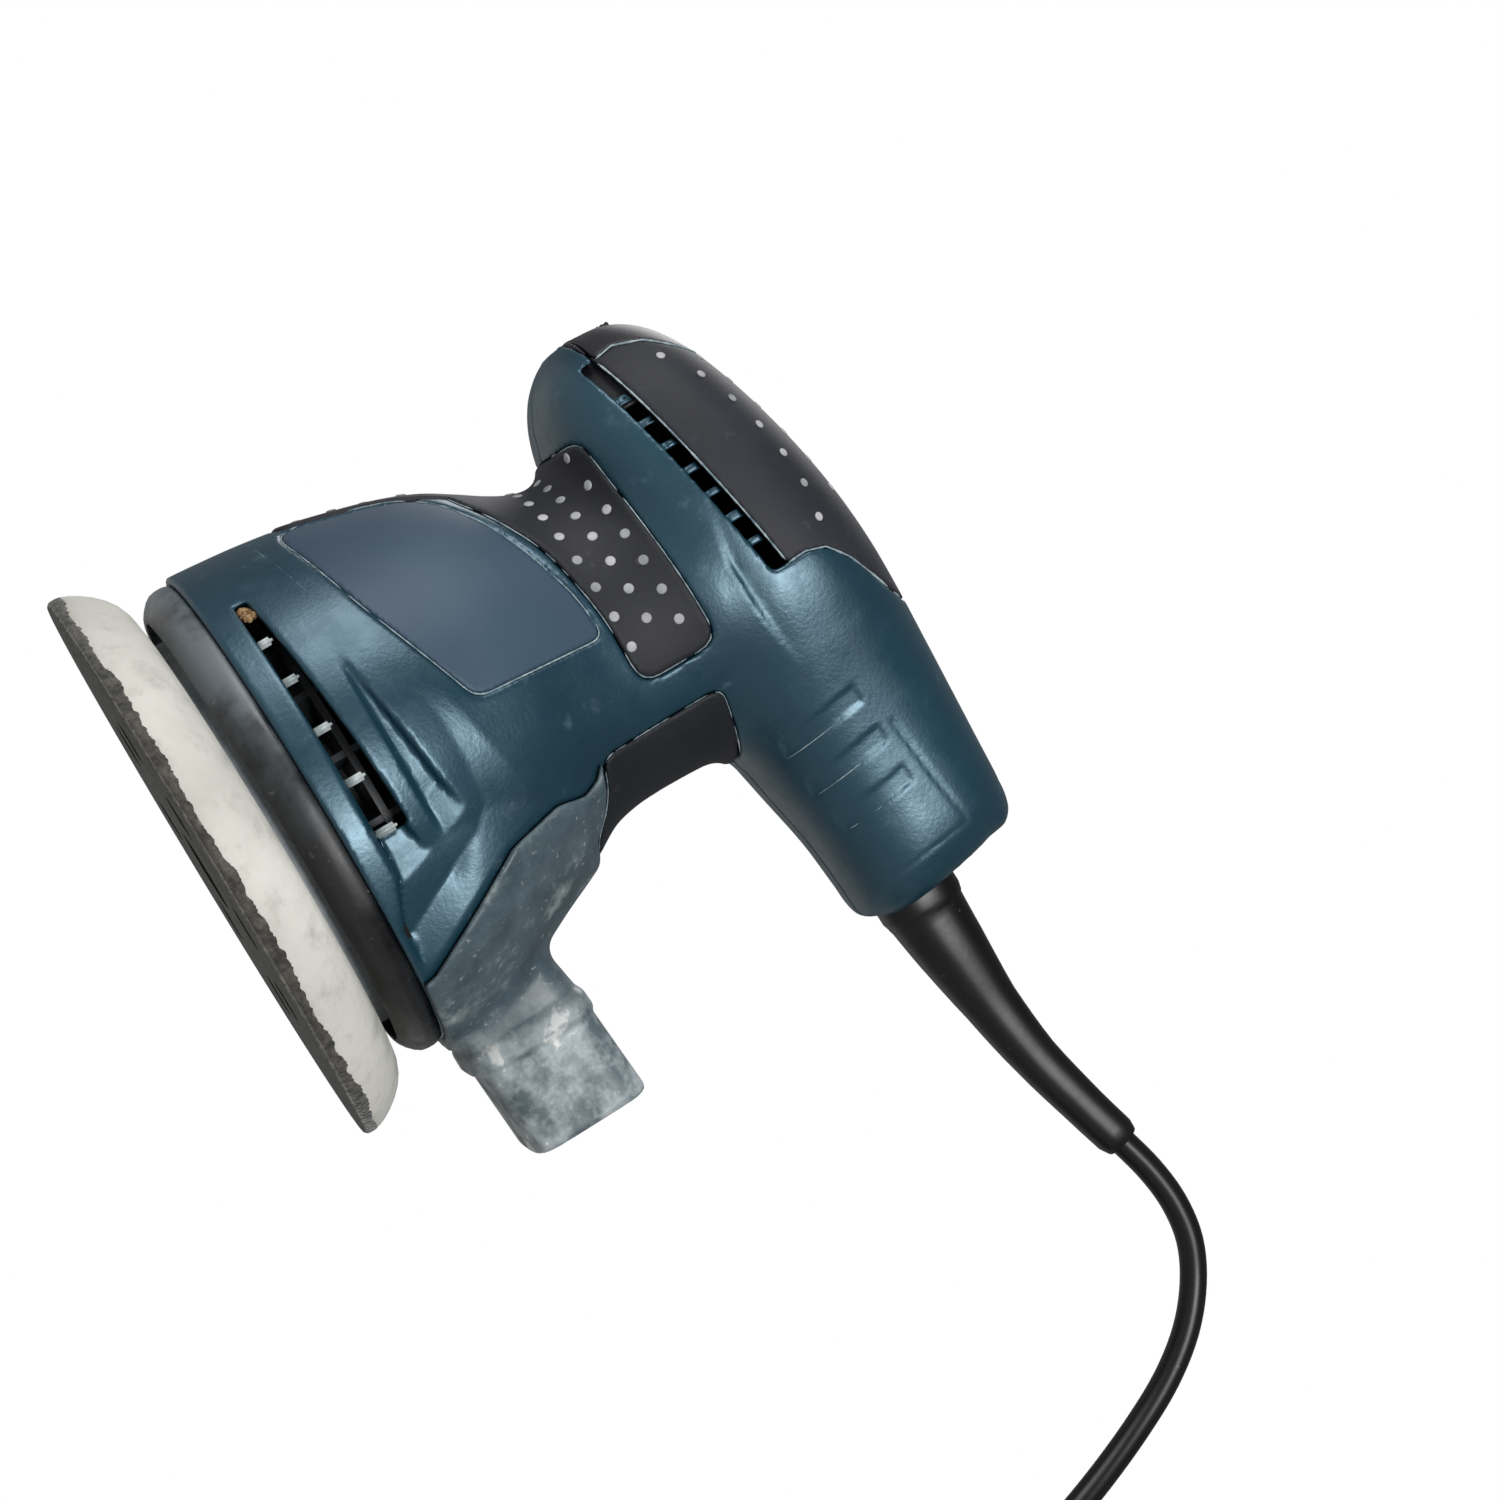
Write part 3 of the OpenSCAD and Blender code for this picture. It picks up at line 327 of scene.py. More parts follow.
# Plug sections: distance along the plug, half width, half height, middle height
PLUG_ROWS = [(0, 4.4, 4.4, 4.7), (2, 4.6, 4.6, 4.8), (3.2, 4.6, 4.6, 4.9), (3.8, 3.8, 3.8, 4.9),
             (5, 3.8, 3.8, 5), (5.6, 4.8, 4.8, 5.1), (7, 4.9, 4.9, 5.2), (7.6, 4, 4, 5.3),
             (8.8, 4, 4, 5.4), (9.4, 5.1, 5, 5.5), (11.5, 5.6, 5.2, 5.8), (14, 8.4, 5.8, 6.2),
             (16.5, 11.2, 6.2, 6.4), (19, 12.4, 6.4, 6.5), (23, 12.2, 6.4, 6.5), (28, 12.6, 6.4, 6.5),
             (32.5, 12.9, 6.4, 6.5), (33.6, 12.6, 6.2, 6.5), (34, 12, 5.8, 6.5)]


def make_plug():
    """Two-pin plug: ribbed neck, waisted body and a flat face."""
    x, y, z = PLUG
    turn = np.linspace(0, 2 * math.pi, 48, endpoint=False)
    rings = []
    for along, wide, high, mid in PLUG_ROWS:
        # round at the neck, squarish at the face
        square = 2 + min(along / 8, 2)
        rings.append(np.stack([x + wide * power(np.cos(turn), 2 / square),
                               np.full(len(turn), y + along),
                               mid + high * power(np.sin(turn), 2 / square)], -1))
    plug = new_piece("plug", *loft(np.array(rings)), "housing")
    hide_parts("plug_body")
    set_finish(plug, "lead_rubber")
    pins = []
    for side in (-1, 1):
        start = np.array((x + side * pin_spacing / 2, y + 33, z))
        run = [start + (0, along, 0) for along in (0, 17.2, 18.4, 19.4, 19.9)]
        pins.append(tube_along(run, [pin_r, pin_r, 1.9, 1.5, 0.7], 32))
    pin_piece = new_piece("plug_contacts", *joined(pins), "housing")
    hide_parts("plug_pins")
    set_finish(pin_piece, "bright_steel")
    return plug, pin_piece


def make_tie():
    """Flat tie round the coil's turns."""
    low, high = coil_inner - 3.4, coil_outer + 3
    middle, width, thick = 6, 9, 0.7
    turn = math.radians(205)
    out = np.array((math.cos(turn), math.sin(turn), 0))
    along = np.array((-math.sin(turn), math.cos(turn), 0)) * width / 2
    centre = np.array((*COIL_CENTRE, middle)) + out * (low + high) / 2
    rings = []
    for a in np.linspace(0, 2 * math.pi, 48, endpoint=False):
        reach = (high - low) / 2 * power(math.cos(a), 0.28)
        spot = centre + out * reach + (0, 0, 5.9 * power(math.sin(a), 0.5))
        inward = (centre - spot) / np.linalg.norm(centre - spot) * thick
        rings.append([spot - along, spot + along, spot + along + inward, spot - along + inward])
    rows = len(rings)
    faces = [(i * 4 + j, i * 4 + (j + 1) % 4, ((i + 1) % rows) * 4 + (j + 1) % 4, ((i + 1) % rows) * 4 + j)
             for i in range(rows) for j in range(4)]
    tie = new_piece("coil_tie", np.array(rings).reshape(-1, 3), faces, "housing")
    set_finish(tie, "lead_rubber")
    return tie


lead, lead_length = make_lead()
plug, plug_contacts = make_plug()
coil_tie = make_tie()

# ---------------------------------------------------------------- the form

# Lower body: height, radius at the front, radius at the rear
BODY = [(23, 55.3, 55.2), (29, 54.9, 54.6), (38, 54.1, 52.6), (48, 52.7, 48.6), (58, 50.5, 43.8),
        (68, 47.8, 39.3), (76, 44.7, 34.8), (82, 41.2, 33.4), (88, 37.4, 33.1), (93, 35, 33.2),
        (99, 34, 33.5), (106, 34.6, 34.2), (114, 36.4, 35.8), (122, 36.8, 36)]
# Head and handle: distance along X, top, underside, half width
HEAD = [(-57.2, 121.2, 118.8, 3), (-56.3, 127, 114.8, 11), (-54, 131.8, 111, 17),
        (-50, 136, 107.4, 22.4), (-44, 139.7, 104.5, 27.4), (-36, 143, 102.7, 31.5),
        (-26, 146.2, 102.4, 34.7), (-14, 149.2, 103, 36.8), (-2, 151.4, 103.8, 37.4),
        (10, 152.7, 104.6, 36.2), (22, 153.2, 105.4, 33.2), (34, 153.3, 106.3, 29.6),
        (46, 153.2, 108.4, 26.6), (60, 152.9, 111.2, 24.2), (71, 152.7, 112.4, 22.6),
        (79, 152.3, 113.2, 20.8), (82, 150.4, 115.6, 18.4), (83.4, 146, 120, 14.6)]
# Power of the head's section: 2 is an ellipse
head_power = 2.6
# The handle's end leans by this much for each millimetre over lean_z, more and more between two places
end_lean = 0.17
lean_from = 62
lean_to = 80
lean_z = 115
# Power of the change round the body from its rear radius to its front one
front_share = 0.75
wall = 2.6
# How deep each let-in piece is seated, and how far it stands out
grip_seat = 1.4
grip_proud = 0.5
label_seat = 0.6
hood_proud = 1.6
hood_seat = 1.2
cap_t = 2.4
waist_corner = 4.6
# Distance of the label's front end from the middle plane
label_end = 12
# Gap that shows as the dark line between two mouldings
joint = 0.22

# Side-view outlines, each point (x, z)
WAIST_GRIP = [(-62, 101), (-37.5, 101), (-37.5, 107), (-20, 108.1), (11.2, 109.3), (11.2, 91.4), (-5, 91),
              (-15, 89.6), (-22, 88.4), (-28, 86), (-34, 83.2), (-41, 79), (-62, 79)]
# Front view of the grip's spine, each point (y, z)
SPINE = [(-9.5, 46.5), (9.5, 46.5), (10, 66), (12.5, 79), (12.5, 90), (-12.5, 90), (-12.5, 79), (-10, 66)]
REAR_GRIP = [(19.9, 77), (26, 75.8), (30.5, 73.4), (34, 70), (60, 70), (60, 106), (19.9, 106)]
LABEL = [(-50.7, 44.9), (-40.2, 47.3), (-30, 49.9), (-20, 53.4), (-10, 57.1), (-3.6, 59.4),
         (-1.0, 89.2), (-11.4, 88.2), (-24, 84.9), (-32, 81.9), (-41, 76.4), (-46, 70), (-49, 60), (-51, 52)]
HOOD = [(39.8, 20), (38.8, 26), (30, 42.5), (25.2, 51), (22.8, 63.5), (24.3, 70), (23, 73.8),
        (20.2, 76.2), (26, 75), (30.5, 72.6), (34, 69.2), (60, 69.2), (60, 20)]
# Bevelled facets between the plain flank and the sunken field of the air outlets
SKIRT = [(-70, 22), (-70, 38), (-51.2, 39.9), (-38.1, 42.8), (-27.9, 46), (-6.7, 54.7),
         (20.6, 60.5), (24.3, 49.7), (37.4, 25), (37.4, 22)]
VENT_FIELD = [(-43.4, 28.5), (-43.4, 32.4), (-36, 36.5), (-27.1, 41), (-18.9, 45.6), (-10.1, 50),
              (-3.1, 51.4), (4.2, 51.6), (13.8, 50.9), (18.4, 46.6), (29.3, 25.6), (27.6, 24.4), (20, 28.5)]
UPPER_GROOVE = [(-27.1, 40.5), (-5.4, 43.5), (5.9, 45), (13.3, 46.9), (16, 40.6), (7.5, 40.2), (-12, 40.1)]
SLOT_END = [(9.9, 35), (17.2, 37), (19.4, 29.3), (9.9, 29.3)]
OUTLET = [(-41.8, 29.2), (9.9, 29.2), (9.9, 36), (-10, 34.8), (-25, 33.6), (-41.8, 32.1)]
OUTLET_RIBS = [-32.9, -24.3, -13.4, -2.1, 9.1]
outlet_rib_w = 1.7
# Air inlet: its front end, the height of its lower edge there, and its rise along X
slot_x = -49.8
slot_z = 115.45
slot_rise = 0.189
slot_h = 2.9
# Height of the inlet with the rounding of its lower edge
slot_show = 3.5
slot_end = 4.9
slot_windows = 8
slot_rib = 2.0


def slot_edge(x):
    """Height of the cap's lower edge, which is the upper edge of the air inlet."""
    return slot_z + slot_h + (x - slot_x) * slot_rise


CAP_REAR = [(4.9, slot_edge(4.9)), (4.6, 133), (6, 137.6), (10.2, 141.4), (15.5, 144.5),
            (20.8, 147.6), (24, 150), (27, 160)]
CAP = [(-70, slot_edge(-70)), *CAP_REAR, (-70, 160)]
BEZEL = [(-70, 118.8), (-50, 118.8), (-50.8, 123.2), (-48.7, 129.5), (-45.6, 133.5),
         (-41.5, 139), (-38, 146), (-35, 156), (-70, 156)]
# Spout sections: x, underside, top, width
SPOUT = [(44, 25.6, 49.5, 36), (58, 25, 52, 35), (59.6, 24.2, 52.9, 36.4), (63.4, 24.2, 53.2, 36.4),
         (64.2, 25.7, 52.5, 34), (84, 27, 54, 34)]
THROAT = [(38, 27.5, 41.5, 28), (46, 28, 41.5, 28), (56, 28, 49, 30), (85, 29, 52, 30)]


def smooth_value(rows, column, at):
    """Column of a table at the given places, by the same cubic as in the part's source."""
    keys = np.array([r[0] for r in rows], dtype=np.float32)
    values = np.array([r[column] for r in rows], dtype=np.float32)
    last = len(keys) - 1
    at = np.clip(at, keys[0], keys[-1])
    i = np.clip(np.searchsorted(keys, at, side="right") - 1, 0, last - 1)
    before, after = np.maximum(i - 1, 0), np.minimum(i + 2, last)
    step = keys[i + 1] - keys[i]
    s = (at - keys[i]) / step
    slope_a = (values[i + 1] - values[before]) / (keys[i + 1] - keys[before]) * step
    slope_b = (values[after] - values[i]) / (keys[after] - keys[i]) * step
    return ((2 * s ** 3 - 3 * s ** 2 + 1) * values[i] + (s ** 3 - 2 * s ** 2 + s) * slope_a
            + (3 * s ** 2 - 2 * s ** 3) * values[i + 1] + (s ** 3 - s ** 2) * slope_b)


def ease(t):
    """Smooth step from 0 to 1."""
    t = np.clip(t, 0, 1)
    return t * t * (3 - 2 * t)


def body_distance(x, y, z):
    """Distance outside the lower body, negative inside."""
    around = np.hypot(x, y) + 1e-3
    share = ((1 - x / around) / 2) ** front_share
    heights = np.linspace(BODY[0][0] - 8, BODY[-1][0] + 8, 800, dtype=np.float32)
    rear, front = smooth_value(BODY, 2, heights), smooth_value(BODY, 1, heights)
    radius = np.interp(z, heights, rear) * (1 - share) + np.interp(z, heights, front) * share
    slope = (np.interp(z, heights, np.gradient(rear, heights)) * (1 - share)
             + np.interp(z, heights, np.gradient(front, heights)) * share)
    return (around - radius) / np.sqrt(1 + slope ** 2)


def head_distance(x, y, z, step):
    """Distance outside the head and handle, negative inside."""
    station = x + 0 * z
    for _ in range(5):
        station = x + end_lean * ease((station - lean_from) / (lean_to - lean_from)) * (z - lean_z)
    top, low, half = (smooth_value(HEAD, c, station) for c in (1, 2, 3))
    level = np.abs(z - (top + low) / 2) / ((top - low) / 2)
    full = (level ** head_power + (np.abs(y) / half) ** head_power) ** (1 / head_power) - 1
    slopes = np.gradient(full, step)
    size = np.sqrt(sum(s ** 2 for s in slopes))
    distance = full / np.maximum(size, 0.012)
    ends = np.maximum(HEAD[0][0] - station, station - HEAD[-1][0])
    # nothing is nearer than the head's box
    box = np.maximum(np.maximum(np.abs(y) - 37.6, 102.2 - z), np.maximum(z - 153.5, ends))
    return np.maximum(distance, box)


def smooth_min(a, b, reach):
    """Lower of two distances, with a fillet where they meet."""
    h = np.clip(0.5 + 0.5 * (b - a) / reach, 0, 1)
    return b * (1 - h) + a * h - reach * h * (1 - h)


def smooth_max(a, b, reach):
    return -smooth_min(-a, -b, reach)


def form_distance(x, y, z, step):
    """Distance outside the whole plain form: waisted body, head and the fillet between them."""
    body = body_distance(x, y, z)
    head = head_distance(x, y, z, step)
    fillet = 1.5 + 5.5 * np.abs(x) / (np.hypot(x, y) + 1)
    lower = np.maximum(body, z - BODY[-1][0] + 4)
    return smooth_min(head, lower, fillet)


def fillet_corners(outline, radius, steps=4):
    """Outline with its corners rounded off."""
    points = np.array(outline, dtype=float)
    out = []
    for before, here, after in zip(np.roll(points, 1, 0), points, np.roll(points, -1, 0)):
        back, on = before - here, after - here
        cut = min(radius, 0.45 * np.linalg.norm(back), 0.45 * np.linalg.norm(on))
        a = here + back / np.linalg.norm(back) * cut
        b = here + on / np.linalg.norm(on) * cut
        for k in range(steps + 1):
            t = k / steps
            out.append((1 - t) ** 2 * a + 2 * t * (1 - t) * here + t * t * b)
    return np.array(out)


def outline_distance(outline, u, v, radius=1.0):
    """Distance outside a flat outline, negative inside; u and v are broadcast together."""
    points = fillet_corners(outline, radius)
    u, v = np.broadcast_arrays(u, v)
    near = np.full(u.shape, 1e9, dtype=np.float32)
    inside = np.zeros(u.shape, dtype=bool)
    for (ax, ay), (bx, by) in zip(points, np.roll(points, -1, 0)):
        ex, ey = bx - ax, by - ay
        wx, wy = u - ax, v - ay
        t = np.clip((wx * ex + wy * ey) / (ex * ex + ey * ey + 1e-12), 0, 1)
        near = np.minimum(near, (wx - t * ex) ** 2 + (wy - t * ey) ** 2)
        if ay != by:
            crosses = (v >= min(ay, by)) & (v < max(ay, by))
            inside ^= crosses & (u < ax + (v - ay) / (by - ay) * ex)
    return np.where(inside, -np.sqrt(near), np.sqrt(near)).astype(np.float32)


def ramp(distance, width):
    """1 inside an outline and 0 outside it, with a slope of the given width."""
    return ease(0.5 - distance / width)


def lattice(low, high, step):
    """Coordinates of a block of space, as three arrays that broadcast together."""
    x, y, z = (np.arange(a, b + step, step, dtype=np.float32) for a, b in zip(low, high))
    return x[:, None, None], y[None, :, None], z[None, None, :]


# Edges of a lattice cell, as pairs of its corners
EDGES = [(a, b) for a in range(8) for b in range(a + 1, 8) if bin(a ^ b).count("1") == 1]


def skin(distance, axes, step):
    """Smooth quad mesh of the surface where the distance is zero."""
    x, y, z = (a.ravel() for a in axes)
    inside = distance < 0
    nx, ny, nz = np.array(inside.shape) - 1
    counts = sum(inside[i:nx + i, j:ny + j, k:nz + k].astype(np.int8)
                 for i in (0, 1) for j in (0, 1) for k in (0, 1))
    cells = np.argwhere((counts > 0) & (counts < 8))
    corner = [cells + ((c >> 2) & 1, (c >> 1) & 1, c & 1) for c in range(8)]
    value = np.stack([distance[tuple(c.T)] for c in corner], -1)
    total = np.zeros((len(cells), 3))
    hits = np.zeros(len(cells))
    for a, b in EDGES:
        va, vb = value[:, a], value[:, b]
        cross = (va < 0) != (vb < 0)
        t = np.where(cross, va / np.where(cross, va - vb, 1), 0)[:, None]
        total += np.where(cross[:, None], corner[a] + t * (corner[b] - corner[a]), 0)
        hits += cross
    grid_points = total / hits[:, None]
    order = np.full(counts.shape, -1, dtype=np.int64)
    order[tuple(cells.T)] = np.arange(len(cells))
    faces = []
    for axis in range(3):
        u, v = (axis + 1) % 3, (axis + 2) % 3
        a = np.take(inside, np.arange(inside.shape[axis] - 1), axis)
        b = np.take(inside, np.arange(1, inside.shape[axis]), axis)
        spots = np.argwhere(a != b)
        across = spots[:, (u, v)]
        spots = spots[((across > 0) & (across < (counts.shape[u], counts.shape[v]))).all(1)]
        flip = a[tuple(spots.T)]
        corners = []
        for du, dv in ((1, 1), (0, 1), (0, 0), (1, 0)):
            cell = spots.copy()
            cell[:, u] -= du
            cell[:, v] -= dv
            corners.append(order[tuple(cell.T)])
        quad = np.stack(corners, -1)
        quad[~flip] = quad[~flip][:, ::-1]
        faces.append(quad)
    faces = np.concatenate(faces)
    faces = faces[(faces >= 0).all(1)]
    grid_points = settle(distance, grid_points, step)
    return np.array((x[0], y[0], z[0])) + grid_points * step, faces


def sampled(field, points):
    """Field between lattice points."""
    base = np.clip(points.astype(int), 0, np.array(field.shape) - 2)
    f = np.clip(points - base, 0, 1)
    out = 0
    for c in range(8):
        bit = np.array(((c >> 2) & 1, (c >> 1) & 1, c & 1))
        weight = np.prod(np.where(bit, f, 1 - f), 1)
        out = out + weight * field[tuple((base + bit).T)]
    return out


def settle(distance, points, step, rounds=3, probe=0.4):
    """Moves the skin's points onto the surface itself, except where that would throw them off.

    Points and moves are in lattice steps here.
    """
    start = points
    for _ in range(rounds):
        here = sampled(distance, points)
        slope = np.stack([(sampled(distance, points + d) - sampled(distance, points - d)) / (2 * probe)
                          for d in np.eye(3) * probe], -1)
        size = np.maximum((slope ** 2).sum(1), (0.35 * step) ** 2)
        move = -here[:, None] * slope / size[:, None]
        length = np.linalg.norm(move, axis=1, keepdims=True)
        points = points + move * np.minimum(1, 0.45 / np.maximum(length, 1e-9))
    better = np.abs(sampled(distance, points)) <= np.abs(sampled(distance, start))
    near = np.linalg.norm(points - start, axis=1) < 0.75
    return np.where((better & near)[:, None], points, start)


# ---------------------------------------------------------------- housing


def soften_by_angle(piece, degrees):
    """Smooth shading with sharp edges above an angle."""
    for polygon in piece.data.polygons:
        polygon.use_smooth = True
    piece.data.set_sharp_from_angle(angle=math.radians(degrees))


def flank_place(x, z, step=0.5):
    """Place on the plain left flank at x and z, in metres."""
    grid = lattice((x - step, -57, z - step), (x + 0.4, 0, z + 0.4), step)
    distance = form_distance(*grid, step)[1, :, 1]
    y = np.interp(0, -distance, grid[1].ravel())
    return np.array((x, y, z)) * MM


# Lattice step of the housing and of what is let into it
FINE = 0.6


def groove_along(x, z, line, width, deep):
    """A fine scored line through points in side view."""
    near = np.full(x.shape, 1e3, dtype=np.float32)
    for (ax, az), (bx, bz) in zip(line, line[1:]):
        ex, ez = bx - ax, bz - az
        t = np.clip(((x - ax) * ex + (z - az) * ez) / (ex ** 2 + ez ** 2), 0, 1)
        near = np.minimum(near, np.hypot(x - ax - t * ex, z - az - t * ez))
    return deep * ramp(near - width / 2, width)


# Shallow bars sunk in the handle where the fingers lie
FINGER_BARS = [[(33, 129.6), (37.2, 129.8), (40.1, 111.9), (36, 111.9)],
               [(43, 130.5), (47, 131), (49.9, 113.3), (46, 113.1)],
               [(53, 131.5), (57.1, 131.7), (59.5, 115.6), (55.4, 115)]]
# Scored line along the handle and round its end
CREASE = [(44, 133.6), (58.6, 136), (70.4, 138.4), (71.8, 127), (72.8, 118.6)]
vent_deep = 3.3
vent_from = -30
vent_to = 16
groove_deep = 2.3
pocket_deep = 2.6
bar_deep = 0.3
crease_deep = 0.22
end_bevel = 1.6
# Width of the slope at a carved edge, so that the lattice can follow it
carved_edge = 1.1
fine_edge = 0.9


def end_ramp(x, z, end_x, end_z, lean, long):
    """1 inside a pocket and 0 at its rear end, along a flat ramp with a leaning edge."""
    return np.clip((end_x - lean * (z - end_z) - x) / long, 0, 1)


def flank_relief(x, z):
    """How far the flank stands in from the plain form round the air outlets and on the handle."""
    skirt = outline_distance(SKIRT, x, z, 0.8)
    field = outline_distance(VENT_FIELD, x, z, 1.2)
    groove = outline_distance(UPPER_GROOVE, x, z, 0.5)
    pocket = outline_distance(SLOT_END, x, z, 0.4)
    # a flat field that runs in deeper towards the rear, with bevelled facets up to the plain form round it
    along = np.clip((x - vent_from) / (vent_to - vent_from), 0, 1) ** 2.2
    deepest = vent_deep * along * (1 - 0.42 * ease((z - 38) / 9))
    bevel = np.clip(-skirt / np.maximum(-skirt + np.maximum(field, 0), 0.01), 0, 1)
    above_rim = ease((z - np.interp(x, (18, 28), (28.1, 24.2))) / 1.2)
    inward = deepest * np.where(skirt < 0, bevel, 0) * above_rim
    # the groove and the slot both end in a flat ramp
    groove_end = end_ramp(x, z, 16, 40.6, 0.43, 8.4) * ease((x + 27) / 22)
    inward = inward + groove_deep * ramp(groove, carved_edge) * groove_end
    inward = inward + pocket_deep * ramp(pocket, carved_edge) * end_ramp(x, z, 19.4, 29.4, 0.29, 8.4)
    for bar in FINGER_BARS:
        inward = inward + bar_deep * ramp(outline_distance(bar, x, z, 0.3), fine_edge)
    inward = inward + groove_along(x, z, CREASE, fine_edge, crease_deep)
    # the handle's end draws in over its last few millimetres
    station = x + end_lean * (z - lean_z)
    drawn_in = np.clip((station - 74.2) / 7, 0, 1) * ease((148 - z) / 6) * ease((z - 112) / 4)
    return inward + end_bevel * drawn_in


def slot_distance(x, z):
    """Air inlet under the cap: distance outside the shallow slot, and outside its windows."""
    below = slot_edge(x) - slot_show
    tall = np.abs(z - below - slot_show / 2 - 0.3) - slot_show / 2 - 0.3
    ends = np.maximum(slot_x - x, x - slot_end)
    slot = smooth_max(tall, ends, 1.6)
    # the first window is longer than the others
    first = 10.8
    pitch = (slot_end - slot_x - first) / (slot_windows - 1)
    ribs = np.full(x.shape, 1e3, dtype=np.float32)
    for k in range(slot_windows - 1):
        middle = slot_x + first - slot_rib / 2 + k * pitch
        ribs = np.minimum(ribs, np.abs(x - middle) - slot_rib / 2)
    return slot, np.maximum(slot, -ribs)


# Counterbores of the housing screws, put in from the right: x, z
SCREWS = [(-43, 111.5), (-47, 41.5), (68, 141), (58.5, 118.5), (15.6, 103)]
screw_bore_r = 3.3
# Middle of the speed dial, and its window in the right half
DIAL = (50, 17.5, 137.75)
dial_window_r = 11.4
dial_window_half = 2.85
# Hole that the strain relief leaves by: height and radius
relief_hole_z = 125.6
relief_hole_r = 9.5


def make_shell(side, grid, form, relief, flat):
    """One housing half: side -1 is the left. The lattice covers the left, and the right is mirrored."""
    x, y, z = grid
    deep = form + relief

    def carved(shell, zone, edge):
        return smooth_max(shell, -zone, edge) if edge else np.maximum(shell, -zone)

    def flank(outline, corner):
        return outline_distance(outline, *flat, corner)[:, None, :]

    shell = smooth_max(deep, BODY[0][0] - z, 0.8)
    shell = carved(shell, deep + wall, 0)
    # seats of the grips, the label and the hood
    for outline, corner in ((WAIST_GRIP, waist_corner), (REAR_GRIP, 3.0)):
        shell = carved(shell, np.maximum(flank(outline, corner) - joint, -form - grip_seat), 0.5)
    if side < 0:
        zone = np.maximum(flank(LABEL, 3.0), label_end + y) - joint
        shell = carved(shell, np.maximum(zone, -form - label_seat), 0.6)
    spine = outline_distance(SPINE, y[0, :, 0][:, None], z[0, 0][None, :], 3.0)[None] - joint
    shell = carved(shell, np.maximum(-form - grip_seat, np.maximum(spine, x + 20)), 0.5)
    shell = carved(shell, np.maximum(-form - hood_seat, flank(HOOD, 0.8) - joint), 0.4)
    # way of the dusty air into the hood
    shell = carved(shell, np.maximum(np.maximum(40 - x, np.abs(y) - 14), np.abs(z - 34.5) - 7), 0)
    shell = carved(shell, np.minimum(flank(CAP, 1.2), flank(BEZEL, 1)) - joint / 2, 0.5)
    # air inlet and outlets
    slot, windows = slot_distance(*flat)
    shell = carved(shell, np.maximum(slot[:, None, :], -form - 1.9), 0.4)
    shell = carved(shell, windows[:, None, :], 0)
    shell = carved(shell, flank(OUTLET, 1), 0.6)
    shell = carved(shell, np.maximum(np.hypot(y, z - relief_hole_z) - relief_hole_r, 70 - x), 0)
    if side > 0:
        for sx, sz in SCREWS:
            bore = np.hypot(x - sx, z - sz) - screw_bore_r
            shell = carved(shell, np.maximum(bore, -y - 60 + 0 * z), 0.6)
        dial_x, dial_y, dial_z = DIAL
        window = np.hypot(x - dial_x, -y - dial_y) - dial_window_r
        shell = carved(shell, np.maximum(window, np.abs(z - dial_z) - dial_window_half), 0.4)
    shell = smooth_max(shell, y + 0.08, 0.35)
    points, faces = skin(shell, grid, FINE)
    if side > 0:
        points = points * (1, -1, 1)
        faces = faces[:, ::-1]
    piece = new_piece("housing_left" if side < 0 else "housing_right", points, faces, "housing")
    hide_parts("left_shell" if side < 0 else "right_shell")
    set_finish(piece, "housing_plastic")
    return piece


def make_housing():
    grid = lattice((-60, -58, 20.5), (87, 1.5, 155.5), FINE)
    x, y, z = grid
    flat = np.broadcast_arrays(x[:, 0], z[0])
    form = form_distance(x, y, z, FINE).astype(np.float32)
    relief = (flank_relief(*flat)[:, None, :] + 0 * y).astype(np.float32)
    return [make_shell(side, grid, form, relief, flat) for side in (-1, 1)]


housing_left, housing_right = make_housing()

# ---------------------------------------------------------------- grips, label plate and cap


def layer_piece(name, low, high, zone_of, proud, deep, slot_name, nodes, edge=0.9, whole_head=False,
                step=FINE):
    """A piece let into the form: from deep below the surface to proud above it, inside a zone and the
    block of space from low to high."""
    grid = lattice(low, high, step)
    x, y, z = grid
    form = head_distance(x, y, z, step) if whole_head else form_distance(x, y, z, step)
    zone = zone_of(x, y, z, form)
    body = smooth_max(form - proud, zone, edge)
    body = np.maximum(body, -(form + deep))
    points, faces = skin(body.astype(np.float32), grid, step)
    piece = new_piece(name, points, faces, "housing")
    if nodes:
        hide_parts(*nodes)
    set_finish(piece, slot_name)
    return piece


def side_zone(outline, radius=3.0):
    def zone(x, y, z, form):
        return outline_distance(outline, x[:, 0], z[0], radius)[:, None, :] + 0 * y
    return zone


def waist_zone(x, y, z, form):
    band = outline_distance(WAIST_GRIP, x[:, 0], z[0], waist_corner)[:, None, :]
    spine = outline_distance(SPINE, y[0, :, 0][:, None], z[0, 0][None, :], 3.0)[None]
    return np.minimum(band, np.maximum(spine, x + 20))


def label_zone(x, y, z, form):
    return np.maximum(side_zone(LABEL)(x, y, z, form), label_end + y) + 0.1


def rear_zone(x, y, z, form):
    head = head_distance(x, y, z, FINE)
    return smooth_max(side_zone(REAR_GRIP)(x, y, z, form), 1.2 - head, 1.5)


def cap_zone(x, y, z, form):
    bezel = side_zone(BEZEL, 1)(x, y, z, form)
    return np.maximum(side_zone(CAP, 1.2)(x, y, z, form), joint - bezel)


def bezel_zone(x, y, z, form):
    opening = np.maximum(np.maximum(x + 48, np.abs(y) - 8.6), np.abs(z - 125.5) - 4.1)
    return smooth_max(side_zone(BEZEL, 1)(x, y, z, form), -opening, 0.6)


